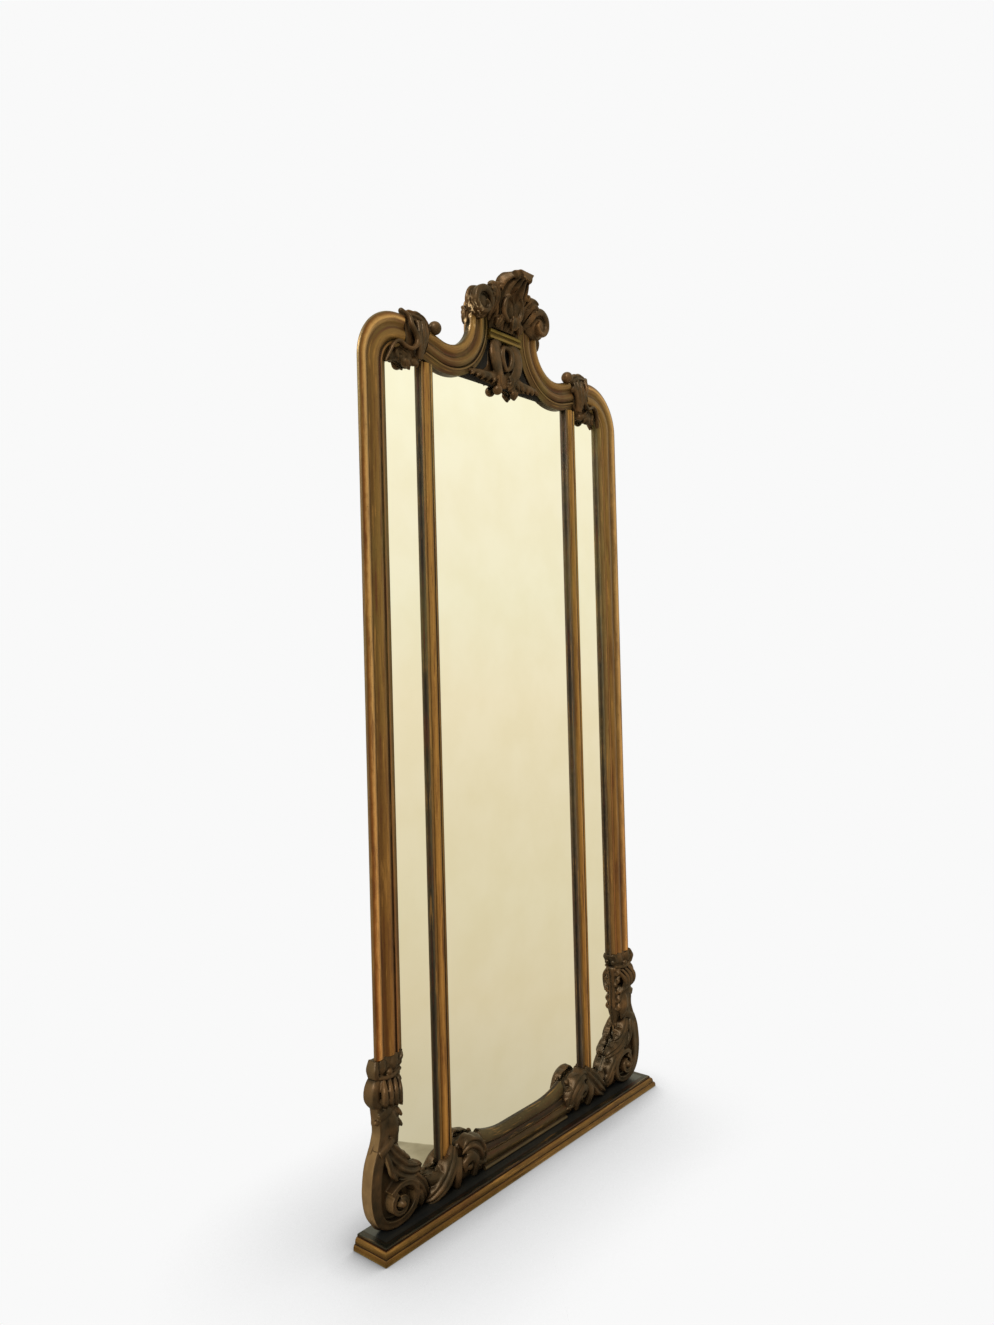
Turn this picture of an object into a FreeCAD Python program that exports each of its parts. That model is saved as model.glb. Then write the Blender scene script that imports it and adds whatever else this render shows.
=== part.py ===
import FreeCAD, Part
import math
import os

# Carved and gilt trumeau mirror with three plates, standing on its own base shelf.
# Millimetres. X runs to the viewer's right, the glass looks towards -Y, Z is up.
# The origin is the middle of the underside of the base shelf.

# Base shelf
base_width = 1070.0
base_depth = 100.0
base_height = 30.0
base_bevel = 12.0            # how far the gilt edge slopes back from foot to top
edge_moulding_width = 28.0   # mitred gilt edge around the shelf board

# Depths, all measured forward from the wall face of the mirror
carcass_depth = 27.0
moulding_depth = 20.0
slip_depth = 14.0
panel_depth = 5.0
glass_thickness = 4.0
backboard_thickness = 8.0
strip_size = 8.0

# Side mouldings
frame_setback = 35.0         # from the end of the base to the outer arris
frame_width = base_width - 2 * frame_setback
stile_width = 84.0
stile_back_inset = 24.0      # hollow behind the outer arris
stile_foot_height = 395.0
corner_radius = 125.0        # outer radius of the rounded top corner
shoulder_height = 2018.0     # top of the rounded corner

# Swan necks of the cresting
neck_width = 72.0
neck_radius = 82.0           # upper edge of the moulding
neck_centre_x = 213.0
neck_centre_rise = 53.0      # above the rounded corners
neck_end_rise = 24.0         # upright end above the centre of the curve
neck_sweep_past = 16.0       # degrees past its lowest point, into the clasp
neck_centre_height = shoulder_height + neck_centre_rise
neck_top_height = neck_centre_height + neck_end_rise

# Slips between the plates
slip_width = 39.0
slip_spacing = 567.0
slip_foot_height = 95.0
slip_top_drop = 108.0        # below the top of the rounded corners
slip_top_height = shoulder_height - slip_top_drop

# Crest
crossbar_height = 25.0
crossbar_drop = 6.0          # below the centre of the necks
panel_height = 113.0
volute_radius = 31.0
volute_relief = 36.0
volute_overhang = 5.0        # past the outer edge of the neck's end
plume_rise = 105.0           # above the ends of the necks
crest_reach = 95.0           # how far the plume curls in front of the carcass
plume_half_width = 78.0
pendant_half_width = 138.0
pendant_relief = 16.0
crossbar_top = neck_centre_height - crossbar_drop
panel_foot_height = crossbar_top - crossbar_height - panel_height
volute_centre_x = neck_centre_x - neck_radius + volute_overhang
crest_top_height = neck_top_height + plume_rise

# Legs and bottom rail
leg_break_height = 200.0
leg_collar_foot = 360.0
leg_width = 72.0
scroll_setback = 2.0         # outermost point of the bottom scroll to the end of the base
scroll_relief = 32.0
scroll_eye_inset = 44.0      # from the outer arris of the stile
scroll_eye_height = 78.0
collar_relief = 27.0
rail_top_height = 103.0
rail_relief = 27.0
cartouche_inner_reach = 118.5    # from the middle of the slip towards the middle
cartouche_outer_reach = 68.5     # from the middle of the slip towards the leg
cartouche_relief = 30.0
leg_inner = frame_width / 2 - leg_width
scroll_reach = base_width / 2 - scroll_setback
scroll_eye_x = frame_width / 2 - scroll_eye_inset
rail_half_length = slip_spacing / 2 - cartouche_inner_reach
cartouche_end = slip_spacing / 2 + cartouche_outer_reach

# Softwood carcass behind the mouldings
carcass_inset = 42.0         # behind the outer arris, so that it isn't seen
carcass_stile_width = 27.0
muntin_width = 25.0
bottom_rail_height = 55.0
top_rail_lap = 25.0          # foot of the top rail above the top of the slips
top_rail_height = 41.0
crest_board_half_width = 108.0
crest_board_rise = 45.0      # above the ends of the necks
plate_clearance = 0.5        # play around each plate in its opening
carcass_half_width = frame_width / 2 - carcass_inset
bottom_rail_top = base_height + bottom_rail_height
top_rail_foot = slip_top_height + top_rail_lap
crest_board_top = neck_top_height + crest_board_rise

# Fixings
dowel_radius = 4.0
dowel_length = 40.0
screw_radius = 2.0
screw_head_radius = 4.2
base_screw_length = 62.0
base_screw_spacing = 240.0
hanger_height = 1700.0
hanger_plate_length = 60.0
hanger_plate_width = 20.0
hanger_plate_thickness = 2.0
hanger_screw_pitch = 46.0
hanger_screw_length = 18.0
keyhole_radius = 5.0
keyhole_slot_radius = 2.5
keyhole_slot_length = 12.0
keyhole_pocket_depth = 9.0
fixing_clearance = 0.15

wall = base_depth / 2
front = wall - carcass_depth             # plane the mouldings are glued to
slip_centre = slip_spacing / 2
stile_inner = frame_width / 2 - stile_width
corner_x = frame_width / 2 - corner_radius
corner_height = shoulder_height - corner_radius
neck_outer = neck_radius + neck_width
carcass_inner = carcass_half_width - carcass_stile_width

V = FreeCAD.Vector


def depth(forward):
    # Y of a point that stands forward of the plane the mouldings are glued to
    return front - forward


def flat_wire(start, steps, place):
    # A closed outline: a step (a, b) is a line, a step ((a, b), (a, b)) an arc through a point
    edges = []
    here = start
    for step in list(steps) + [start]:
        if isinstance(step[0], tuple):
            edges.append(Part.Arc(place(*here), place(*step[0]), place(*step[1])).toShape())
            here = step[1]
        elif (place(*here) - place(*step)).Length > 0.01:
            edges.append(Part.LineSegment(place(*here), place(*step)).toShape())
            here = step
    return Part.Wire(edges)


def front_prism(start, steps, back, face):
    # An outline seen from the front, carried from Y = back to Y = face
    wire = flat_wire(start, steps, lambda x, z: V(x, back, z))
    return Part.Face(wire).extrude(V(0, face - back, 0))


def side_prism(start, steps, half_width):
    # An outline seen from the side, carried across the middle
    wire = flat_wire(start, steps, lambda y, z: V(-half_width, y, z))
    return Part.Face(wire).extrude(V(2 * half_width, 0, 0))


def block(x0, x1, y0, y1, z0, z1):
    return Part.makeBox(x1 - x0, y1 - y0, z1 - z0, V(x0, y0, z0))


def disc(x, z, radius, back, face):
    return Part.makeCylinder(radius, back - face, V(x, face, z), V(0, 1, 0))


def bead(x, z, radius, forward):
    # A carved ball, its middle this far in front of the moulding plane
    return Part.makeSphere(radius, V(x, depth(forward), z), V(0, 1, 0))


def mirrored(shape):
    return shape.mirror(V(0, 0, 0), V(1, 0, 0))


def joined(shapes):
    whole = shapes[0].fuse(shapes[1:]) if len(shapes) > 1 else shapes[0]
    return whole.removeSplitter()


def save(name, shape):
    solids = shape.Solids
    whole = solids[0] if len(solids) == 1 else Part.makeCompound(solids)
    whole.exportStep("parts/" + name + ".step")
    print(name, len(solids), "solids", round(shape.Volume / 1000.0, 1), "cm3", shape.isValid())


def save_pair(name, shape):
    save(name + "_right", shape)
    save(name + "_left", mirrored(shape))


def lobes(start, end, count, rise):
    # A leafy edge: equal rounded lobes from start to end, standing off to the left of the line
    steps = []
    along = ((end[0] - start[0]) / count, (end[1] - start[1]) / count)
    length = math.hypot(*along)
    for i in range(count):
        middle = (start[0] + along[0] * (i + 0.5) - along[1] / length * rise,
                  start[1] + along[1] * (i + 0.5) + along[0] / length * rise)
        steps.append((middle, (start[0] + along[0] * (i + 1), start[1] + along[1] * (i + 1))))
    return steps


def spiral_ridge(x, z, outer, width, turns, back, face, lead):
    # A raised scroll: half circles, each smaller than the last, with a parallel inner edge
    halves = int(turns * 2)
    step = (outer - 1.6 * width) / halves
    turn = math.radians(lead)

    def point(k, inset):
        radius = outer - k * step - inset
        return (x + radius * math.cos(turn + k * math.pi), z + radius * math.sin(turn + k * math.pi))

    def middle(k, inset):
        a, b = point(k, inset), point(k + 1, inset)
        radius = outer - (k + 0.5) * step - inset
        side = turn + (k + 0.5) * math.pi
        return ((a[0] + b[0]) / 2 + radius * math.cos(side), (a[1] + b[1]) / 2 + radius * math.sin(side))

    steps = [(middle(k, 0), point(k + 1, 0)) for k in range(halves)]
    steps.append(point(halves, width))
    steps += [(middle(k, width), point(k, width)) for k in reversed(range(halves))]
    return front_prism(point(0, 0), steps, back, face)


def moulding_profile(width, deep, inset):
    # Section of the gilt moulding: u runs from the glass side outwards, v forward.
    # Hollow bevel, fillet, quirk, broad ovolo, cove, outer round and a hollow back.
    start = (0, 0)
    steps = [
        (0, 0.40 * deep),
        ((0.09 * width, 0.50 * deep), (0.17 * width, 0.74 * deep)),
        (0.17 * width, 0.84 * deep),
        (0.225 * width, 0.88 * deep),
        (0.235 * width, 0.74 * deep),
        (0.265 * width, 0.74 * deep),
        ((0.41 * width, deep), (0.56 * width, 0.86 * deep)),
        ((0.64 * width, 0.75 * deep), (0.72 * width, 0.86 * deep)),
        ((0.86 * width, deep), (0.97 * width, 0.80 * deep)),
        (width, 0.62 * deep),
    ]
    if inset > 0:
        steps.append(((width - 0.72 * inset, 0.40 * deep), (width - inset, 0)))
    else:
        steps.append((width, 0))
    return start, steps


def stile_moulding():
    start, steps = moulding_profile(stile_width, moulding_depth, stile_back_inset)
    foot = flat_wire(start, steps, lambda u, v: V(stile_inner + u, depth(v), stile_foot_height))
    top = flat_wire(start, steps, lambda u, v: V(stile_inner + u, depth(v), corner_height))
    straight = Part.Face(foot).extrude(V(0, 0, corner_height - stile_foot_height))
    corner = Part.Face(top).revolve(V(corner_x, 0, corner_height), V(0, -1, 0), 90)
    return joined([straight, corner])


def neck_moulding():
    # A quarter turn that dips, then rises to stand upright beside the plume
    start, steps = moulding_profile(neck_width, moulding_depth, 0)
    upright = flat_wire(start, steps, lambda u, v: V(neck_centre_x - neck_outer + u, depth(v),
                                                     neck_centre_height))
    rise = Part.Face(upright).extrude(V(0, 0, neck_top_height - neck_centre_height))
    sweep = Part.Face(upright).revolve(V(neck_centre_x, 0, neck_centre_height), V(0, -1, 0),
                                       90 + neck_sweep_past)
    return joined([rise, sweep])


def slip_moulding():
    half = slip_width / 2
    left = slip_centre - half
    start = (0, 0)
    steps = [
        (0, 0.50 * slip_depth),
        ((0.08 * slip_width, 0.72 * slip_depth), (0.155 * slip_width, 0.64 * slip_depth)),
        (0.205 * slip_width, 0.52 * slip_depth),
        ((half, slip_depth), (0.795 * slip_width, 0.52 * slip_depth)),
        (0.845 * slip_width, 0.64 * slip_depth),
        ((0.92 * slip_width, 0.72 * slip_depth), (slip_width, 0.50 * slip_depth)),
        (slip_width, 0),
    ]
    wire = flat_wire(start, steps, lambda u, v: V(left + u, depth(v), slip_foot_height))
    return Part.Face(wire).extrude(V(0, 0, slip_top_height - slip_foot_height))


def neck_point(radius, past):
    # A point on the right neck, this many degrees past its lowest point
    angle = math.radians(past)
    return (neck_centre_x + radius * math.sin(angle), neck_centre_height - radius * math.cos(angle))


def neck_side(radius, height):
    # Where a circle round the right neck's centre crosses this height, on the side of the middle
    rise = neck_centre_height - height
    return neck_centre_x - math.sqrt(radius ** 2 - rise ** 2)


def between_necks(foot, top, forward):
    # A flat piece between the two swan necks
    foot_x = neck_side(neck_outer, foot)
    top_x = neck_side(neck_outer, top)
    middle_x = neck_side(neck_outer, (foot + top) / 2)
    middle = (foot + top) / 2
    steps = [(foot_x, foot), ((middle_x, middle), (top_x, top)),
             (-top_x, top), ((-middle_x, middle), (-foot_x, foot))]
    return front_prism((-foot_x, foot), steps, front, depth(forward))


def crossbar():
    foot = crossbar_top - crossbar_height
    whole = between_necks(foot, crossbar_top, moulding_depth)
    hollow = between_necks(foot + 0.36 * crossbar_height, foot + 0.64 * crossbar_height,
                           moulding_depth)
    hollow.translate(V(0, -(moulding_depth - 3), 0))
    return whole.cut(hollow)


def tympanum_panel():
    return between_necks(panel_foot_height, crossbar_top - crossbar_height, panel_depth)


def plume_edge(top):
    # Right edge of the plume from the crossbar up to its widest lobe
    waist = neck_side(neck_outer, crossbar_top) - 2
    edge = [(waist, crossbar_top), (waist, neck_top_height)]
    return edge + lobes((waist, neck_top_height), (plume_half_width, top), 2, -5)


def crest_plume():
    # Acanthus that stands up behind the crossbar and curls forward at its tip
    foot = crossbar_top
    top = crest_top_height
    tall = top - foot
    waist, widest = neck_side(neck_outer, crossbar_top) - 2, top - 0.33 * tall
    wide, narrow = plume_half_width, 0.49 * plume_half_width
    leaf_edge = plume_edge(widest)
    leaf_edge += lobes((wide, widest), (narrow, top - 6), 2, -7)
    leaf_edge += [((0, top), (-narrow, top - 6))]
    leaf_edge += lobes((-narrow, top - 6), (-wide, widest), 2, -7)
    leaf_edge += lobes((-wide, widest), (-waist, neck_top_height), 2, -5)
    outline = front_prism((-waist, foot), leaf_edge, front, depth(crest_reach))
    side = side_prism((front, foot), [
        (front, top - 0.46 * tall),
        ((depth(0.11 * crest_reach), top - 0.16 * tall), (depth(0.48 * crest_reach), top - 0.02 * tall)),
        ((depth(0.77 * crest_reach), top + 1), (depth(0.97 * crest_reach), top - 0.09 * tall)),
        ((depth(1.01 * crest_reach), top - 0.18 * tall), (depth(0.92 * crest_reach), top - 0.24 * tall)),
        ((depth(0.77 * crest_reach), top - 0.25 * tall), (depth(0.60 * crest_reach), top - 0.34 * tall)),
        ((depth(0.32 * crest_reach), foot + 0.41 * tall), (depth(0.27 * crest_reach), foot)),
    ], wide + 20)
    whole = outline.common(side)
    hollow = Part.makeCylinder(9, 30, V(0, depth(60), foot + 0.34 * tall), V(0, 1, 0))
    return whole.cut(hollow)


def crest_leaf():
    # Small leaf that fills the space between the plume, the neck's end and the volute
    foot = neck_top_height
    left = plume_half_width + 1
    right = volute_centre_x
    span = right - left
    high = 3 * volute_radius
    whole = front_prism((neck_side(neck_outer, crossbar_top), foot), [
        (right, foot),
        (right, foot + 0.64 * high),
        ((right - 0.04 * span, foot + 0.82 * high), (right - 0.35 * span, foot + 0.86 * high)),
        ((right - 0.60 * span, foot + high), (left + 0.10 * span, foot + 0.86 * high)),
        (left, foot + 0.66 * high),
    ], front, depth(1.16 * volute_radius))
    scroll = disc(right, foot + volute_radius, volute_radius, front + 1, depth(2 * volute_radius))
    return whole.cut(scroll).cut(plume_space())


def plume_space():
    # The space of the plume, so that its neighbours stop against it
    wide = plume_half_width
    top = crest_top_height
    edge = plume_edge(top - 0.33 * (top - crossbar_top)) + [(wide, top), (-wide, top)]
    foot_x = neck_side(neck_outer, crossbar_top) - 2
    return front_prism((-foot_x, crossbar_top), edge, front + 1, depth(crest_reach + 1))


def volute():
    # Round scroll that ends the swan neck, with a raised spiral and a ball eye
    z = neck_top_height + volute_radius
    body = disc(volute_centre_x, z, volute_radius, front, depth(volute_relief - 6))
    spiral = spiral_ridge(volute_centre_x, z, volute_radius - 1, 7, 1.5,
                          depth(volute_relief - 6), depth(volute_relief), 90)
    eye = bead(volute_centre_x, z, 8, volute_relief - 5)
    return joined([body, spiral, eye])


def pendant():
    # Oval cartouche with leafy wings below the crossbar, and two drops that hang onto the glass
    foot = panel_foot_height
    top = crossbar_top - crossbar_height
    tall = top - foot
    wing = pendant_half_width
    back = depth(panel_depth)
    face = depth(panel_depth + pendant_relief)
    oval_x, eye_x, drop_x = 0.19 * wing, 0.058 * wing, 0.32 * wing
    middle = top - 0.35 * tall
    edge = [(oval_x, top), ((0.36 * wing, top - 0.12 * tall), (0.375 * wing, top - 0.39 * tall))]
    edge += [((0.43 * wing, top - 0.67 * tall), (0.58 * wing, foot + 0.27 * tall))]
    edge += [(wing, foot + 0.12 * tall)]
    edge += lobes((wing, foot + 0.12 * tall), (drop_x, foot + 0.06 * tall), 4, 6)
    edge += [(drop_x, foot), (0, foot)]
    half = front_prism((0, top), edge, back, face)
    half = half.common(between_necks(foot, top, panel_depth + pendant_relief + 1))
    drop = front_prism((0, foot), [(drop_x, foot), ((0.22 * wing, foot - 0.16 * tall),
                                                    (0, foot - 0.04 * tall))], front, face)
    oval = front_prism((-oval_x, middle), [
        ((0, middle + 0.30 * tall), (oval_x, middle)),
        ((0, middle - 0.34 * tall), (-oval_x, middle))], face, face - 5)
    eye = front_prism((-eye_x, middle), [
        ((0, middle + 0.13 * tall), (eye_x, middle)),
        ((0, middle - 0.13 * tall), (-eye_x, middle))], back, face - 6)
    ball = bead(0.22 * wing, foot - 0.09 * tall, 13, 14)
    whole = joined([half, mirrored(half), drop, mirrored(drop), oval, ball, mirrored(ball)])
    return whole.cut(eye)


def corner_clasp():
    # Leaf knot over the butt joint of the stile moulding and the swan neck
    low = neck_point(neck_outer, neck_sweep_past)
    high = neck_point(neck_radius, neck_sweep_past)
    lip = corner_height + corner_radius - stile_width
    top = shoulder_height
    left = slip_centre - slip_width / 2 - 5
    right = slip_centre + slip_width / 2 + 5
    foot = slip_top_height
    edge = [(left, foot), (right, foot)]
    edge += [((right + 11, foot - 3), (right + 20, foot + 3))]
    edge += [((corner_x - 28, foot - 9), (corner_x - 14, foot + 6))]
    edge += [((corner_x - 5, foot + 8), (corner_x, lip - 6)), (corner_x, top + 2)]
    edge += lobes((corner_x, top + 2), (left + 30, top + 6), 3, -5)
    edge += [((left + 12, top - 6), (high[0] + 10, high[1] + 7)), high]
    body = front_prism(low, edge, front, depth(26))
    shell = front_prism((corner_x - 20, lip + 2), [
        ((corner_x - 6, lip + 38), (corner_x - 26, top - 6)),
        (corner_x - 52, top - 4),
        ((corner_x - 44, lip + 34), (corner_x - 60, lip + 2)),
    ], depth(26), depth(33))
    ball = bead(high[0] + 27, top - 7, 13, 14)
    drop = bead(corner_x - 28, foot, 11, 14)
    return joined([body, shell, ball, drop])


def stile_collar():
    # Flared cap under the foot of the stile moulding
    foot = leg_collar_foot
    top = stile_foot_height
    inner = stile_inner
    outer = frame_width / 2
    body = front_prism((leg_inner, foot), [
        (outer + 3, foot),
        ((outer + 8, (foot + top) / 2 + 2), (outer, top)),
        (inner + 2, top),
        ((inner + 2, top - 14), (leg_inner - 4, foot + 12)),
    ], front, depth(collar_relief))
    band = front_prism((leg_inner + 3, foot + 4), [
        (outer, foot + 4), (outer, foot + 14), (leg_inner + 3, foot + 14)],
        depth(collar_relief), depth(collar_relief + 4))
    return joined([body, band])


def leg_scroll():
    # Knuckle under the collar: a bulging fluted roll over a leaf with beaded inner edge
    foot = leg_break_height
    top = leg_collar_foot
    tall = top - foot
    inner, outer = leg_inner, frame_width / 2
    wide = leg_width
    ground = depth(scroll_relief - 6)
    edge = [(outer + 0.15 * wide, foot), (outer - 0.08 * wide, foot + 0.16 * tall)]
    edge += [(outer - 0.08 * wide, foot + 0.28 * tall)]
    edge += [((outer + 0.07 * wide, foot + 0.41 * tall), (outer - 0.11 * wide, foot + 0.54 * tall))]
    edge += [((outer + 0.30 * wide, foot + 0.76 * tall), (outer + 0.04 * wide, top)), (inner, top)]
    edge += lobes((inner, top), (inner + 0.08 * wide, foot), 4, -0.1 * wide)
    body = front_prism((inner + 0.08 * wide, foot), edge, front, ground)
    roll = front_prism((inner + 0.19 * wide, foot + 0.60 * tall), [
        ((outer + 0.06 * wide, foot + 0.56 * tall), (outer + 0.06 * wide, top - 0.15 * tall)),
        ((outer - 0.25 * wide, top - 0.03 * tall), (inner + 0.19 * wide, top - 0.08 * tall))],
        ground, depth(scroll_relief))
    leaf = front_prism((inner + 0.28 * wide, foot + 0.03 * tall), [
        ((outer - 0.17 * wide, foot + 0.19 * tall), (outer - 0.25 * wide, foot + 0.55 * tall)),
        (inner + 0.31 * wide, foot + 0.57 * tall),
        ((inner + 0.47 * wide, foot + 0.31 * tall), (inner + 0.28 * wide, foot + 0.03 * tall))],
        ground, depth(scroll_relief - 2))
    return joined([body, roll, leaf])


def corner_scroll():
    # Bottom corner: a big volute on the base with leafage running inwards
    foot = base_height
    top = leg_break_height
    tall = top - foot
    outer = frame_width / 2
    inner = leg_inner + 0.08 * leg_width
    bulge = scroll_reach - outer
    ground = depth(scroll_relief - 8)
    eye_rise = scroll_eye_height - base_height
    edge = [(scroll_eye_x + 0.8 * eye_rise, foot)]
    edge += [((scroll_reach - 0.18 * bulge, foot + 0.22 * tall), (scroll_reach, foot + 0.50 * tall))]
    edge += [((scroll_reach - 0.15 * bulge, top - 0.26 * tall), (outer + 0.15 * leg_width, top))]
    edge += [(inner, top)]
    edge += lobes((inner, top), (inner - 0.36 * leg_width, top - 0.30 * tall), 2, -6)
    edge += lobes((inner - 0.36 * leg_width, top - 0.30 * tall), (cartouche_end, slip_foot_height), 3, -6)
    body = front_prism((cartouche_end, foot), edge, front, ground)
    ring = spiral_ridge(scroll_eye_x, scroll_eye_height, 0.98 * eye_rise, 0.25 * eye_rise, 1.5,
                        ground, depth(scroll_relief), 90)
    ball = bead(scroll_eye_x, scroll_eye_height, 0.19 * eye_rise, scroll_relief - 9)
    spine = front_prism((outer - 0.12 * bulge, top - 4), [
        ((outer + 0.58 * bulge, foot + 0.65 * tall), (outer + 0.82 * bulge, foot + 0.47 * tall)),
        (outer + 0.39 * bulge, foot + 0.47 * tall),
        ((outer + 0.09 * bulge, foot + 0.70 * tall), (outer - 0.61 * bulge, top - 4))],
        ground, depth(scroll_relief - 2))
    return joined([body, ring, ball, spine])


def bottom_cartouche():
    # Rolled leaf that takes the foot of the slip and the end of the bottom rail
    foot = base_height
    left = rail_half_length
    seat = slip_foot_height
    tall = seat - foot
    slip_left = slip_centre - slip_width / 2
    wide = slip_left - left
    ground = depth(cartouche_relief - 6)
    crown = (left + 0.59 * wide, seat + 0.63 * tall)
    edge = [(cartouche_end, foot), (cartouche_end, seat), (slip_left - 2, seat)]
    edge += [((slip_left - 0.12 * wide, seat + 0.46 * tall), crown)]
    edge += lobes(crown, (left, rail_top_height + 3), 2, -6)
    body = front_prism((left, foot), edge, front, ground)
    roll = front_prism((left + 0.08 * wide, foot + 0.46 * tall), [
        ((left + 0.38 * wide, foot + 1.60 * tall), (left + 0.75 * wide, foot + 0.95 * tall)),
        ((left + 0.53 * wide, foot + 1.17 * tall), (left + 0.40 * wide, foot + 0.77 * tall)),
        ((left + 0.24 * wide, foot + 0.37 * tall), (left + 0.08 * wide, foot + 0.46 * tall))],
        ground, depth(cartouche_relief))
    ball = bead(left + 0.63 * wide, foot + 0.68 * tall, 9, cartouche_relief - 6)
    wrap = front_prism((slip_left - 4, foot + 0.12 * tall), [
        (cartouche_end - 6, foot + 0.12 * tall),
        ((cartouche_end - 0.12 * wide, seat - 0.25 * tall), (slip_centre, seat - 0.09 * tall)),
        ((slip_left - 6, seat - 0.31 * tall), (slip_left - 4, foot + 0.12 * tall))],
        ground, depth(cartouche_relief - 1))
    return joined([body, roll, ball, wrap])


def bottom_rail_moulding():
    # Reeded rail below the centre plate: bead, ovolo, fillet, hollow and top round
    foot = base_height
    high = rail_top_height - foot
    start = (foot, 0)
    deep = rail_relief
    steps = [
        (foot, 0.89 * deep),
        ((foot + 0.055 * high, deep), (foot + 0.11 * high, 0.89 * deep)),
        (foot + 0.14 * high, 0.78 * deep),
        ((foot + 0.32 * high, 0.96 * deep), (foot + 0.46 * high, 0.70 * deep)),
        (foot + 0.47 * high, 0.78 * deep),
        (foot + 0.52 * high, 0.78 * deep),
        ((foot + 0.60 * high, 0.48 * deep), (foot + 0.68 * high, 0.56 * deep)),
        ((foot + 0.86 * high, 0.52 * deep), (rail_top_height, 0.15 * deep)),
        (rail_top_height, 0),
    ]
    wire = flat_wire(start, steps, lambda z, v: V(-rail_half_length, depth(v), z))
    return Part.Face(wire).extrude(V(2 * rail_half_length, 0, 0))


def base_board():
    half = base_width / 2 - edge_moulding_width
    return block(-half, half, -base_depth / 2 + edge_moulding_width, wall, 0, base_height)


def edge_section():
    # Section of the gilt edge: u from the board outwards, z up, sloping back to a narrow top
    top = base_height
    out = edge_moulding_width
    slope = base_bevel
    start = (0, 0)
    steps = [
        (out, 0),
        (out, 0.13 * top),
        ((out - 0.08 * slope, 0.30 * top), (out - 0.25 * slope, 0.40 * top)),
        (out - 0.42 * slope, 0.40 * top),
        ((out - 0.50 * slope, 0.67 * top), (out - 0.83 * slope, 0.83 * top)),
        (out - slope, 0.83 * top),
        (out - slope, 0.97 * top),
        (out - 1.25 * slope, top),
        (0, top),
    ]
    return start, steps


def base_edge_front():
    half = base_width / 2
    inner = -base_depth / 2 + edge_moulding_width
    start, steps = edge_section()
    wire = flat_wire(start, steps, lambda u, z: V(-half, inner - u, z))
    strip = Part.Face(wire).extrude(V(base_width, 0, 0))
    return strip.common(mitre_space())


def mitre_space():
    half = base_width / 2
    inner = half - edge_moulding_width
    back = -base_depth / 2 + edge_moulding_width
    wire = flat_wire((-half, -base_depth / 2), [
        (half, -base_depth / 2), (inner, back), (-inner, back)], lambda x, y: V(x, y, 0))
    return Part.Face(wire).extrude(V(0, 0, base_height))


def base_edge_side():
    half = base_width / 2
    start, steps = edge_section()
    inner = half - edge_moulding_width
    wire = flat_wire(start, steps, lambda u, z: V(inner + u, -base_depth / 2, z))
    strip = Part.Face(wire).extrude(V(0, base_depth, 0))
    return strip.cut(mitre_space())


def bar(x0, x1, z0, z1):
    return block(x0, x1, front, wall, z0, z1)


def dowel_places():
    # Middle of every dowel: joint line in X or Z, and the way the dowel runs
    rail_low = (base_height + bottom_rail_top) / 2
    rail_high = top_rail_foot + top_rail_height / 2
    middle = (front + wall) / 2
    places = []
    for side in (-1, 1):
        for z in (rail_low - 14, rail_low + 14, rail_high - 9):
            places.append((V(side * carcass_inner, middle, z), V(1, 0, 0)))
        for z in (bottom_rail_top, top_rail_foot):
            places.append((V(side * slip_centre, middle, z), V(0, 0, 1)))
        places.append((V(side * 60, middle, top_rail_foot + top_rail_height), V(0, 0, 1)))
    return places


def dowels(radius, extra):
    length = dowel_length + 2 * extra
    return [Part.makeCylinder(radius, length, centre - axis * (length / 2), axis)
            for centre, axis in dowel_places()]


def base_screw_places():
    return [(i - 1.5) * base_screw_spacing for i in range(4)]


def base_screw(x, slack):
    # Countersunk screw up through the board into the bottom rail
    middle = (front + wall) / 2
    sunk = 3.0
    head = Part.makeCone(screw_head_radius + slack, screw_radius + slack, sunk, V(x, middle, 2))
    shank = Part.makeCylinder(screw_radius + slack, base_screw_length - 2 + slack, V(x, middle, 2))
    return joined([head, shank])


def base_screw_holes():
    middle = (front + wall) / 2
    wells = [Part.makeCylinder(screw_head_radius + fixing_clearance, 2, V(x, middle, 0))
             for x in base_screw_places()]
    return wells + [base_screw(x, fixing_clearance) for x in base_screw_places()]


def hanger_x():
    return carcass_half_width - carcass_stile_width / 2


def hanger_plate(slack):
    x = hanger_x()
    half = hanger_plate_width / 2 + slack
    tall = hanger_plate_length / 2 + slack
    return block(x - half, x + half, wall - hanger_plate_thickness, wall,
                 hanger_height - tall, hanger_height + tall)


def keyhole(back, face):
    # Round entry with a narrow slot above it
    x = hanger_x()
    entry = disc(x, hanger_height - 6, keyhole_radius, back, face)
    slot = disc(x, hanger_height - 6 + keyhole_slot_length, keyhole_slot_radius, back, face)
    throat = block(x - keyhole_slot_radius, x + keyhole_slot_radius, face, back,
                   hanger_height - 6, hanger_height - 6 + keyhole_slot_length)
    return joined([entry, slot, throat])


def hanger_screw(side, slack):
    x = hanger_x()
    z = hanger_height + side * hanger_screw_pitch / 2
    head = Part.makeCone(screw_radius + slack, screw_head_radius - 1 + slack, hanger_plate_thickness,
                         V(x, wall - hanger_plate_thickness, z), V(0, 1, 0))
    long = hanger_screw_length - hanger_plate_thickness + slack
    shank = Part.makeCylinder(screw_radius + slack, long,
                              V(x, wall - hanger_plate_thickness - long, z), V(0, 1, 0))
    return joined([head, shank])


def corner_waste():
    # What is sawn off the carcass so that it hides behind the rounded corner
    radius = carcass_half_width - corner_x
    square = block(corner_x, frame_width, front - 1, wall + 1, corner_height, shoulder_height)
    return square.cut(disc(corner_x, corner_height, radius, wall + 2, front - 2))


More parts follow.
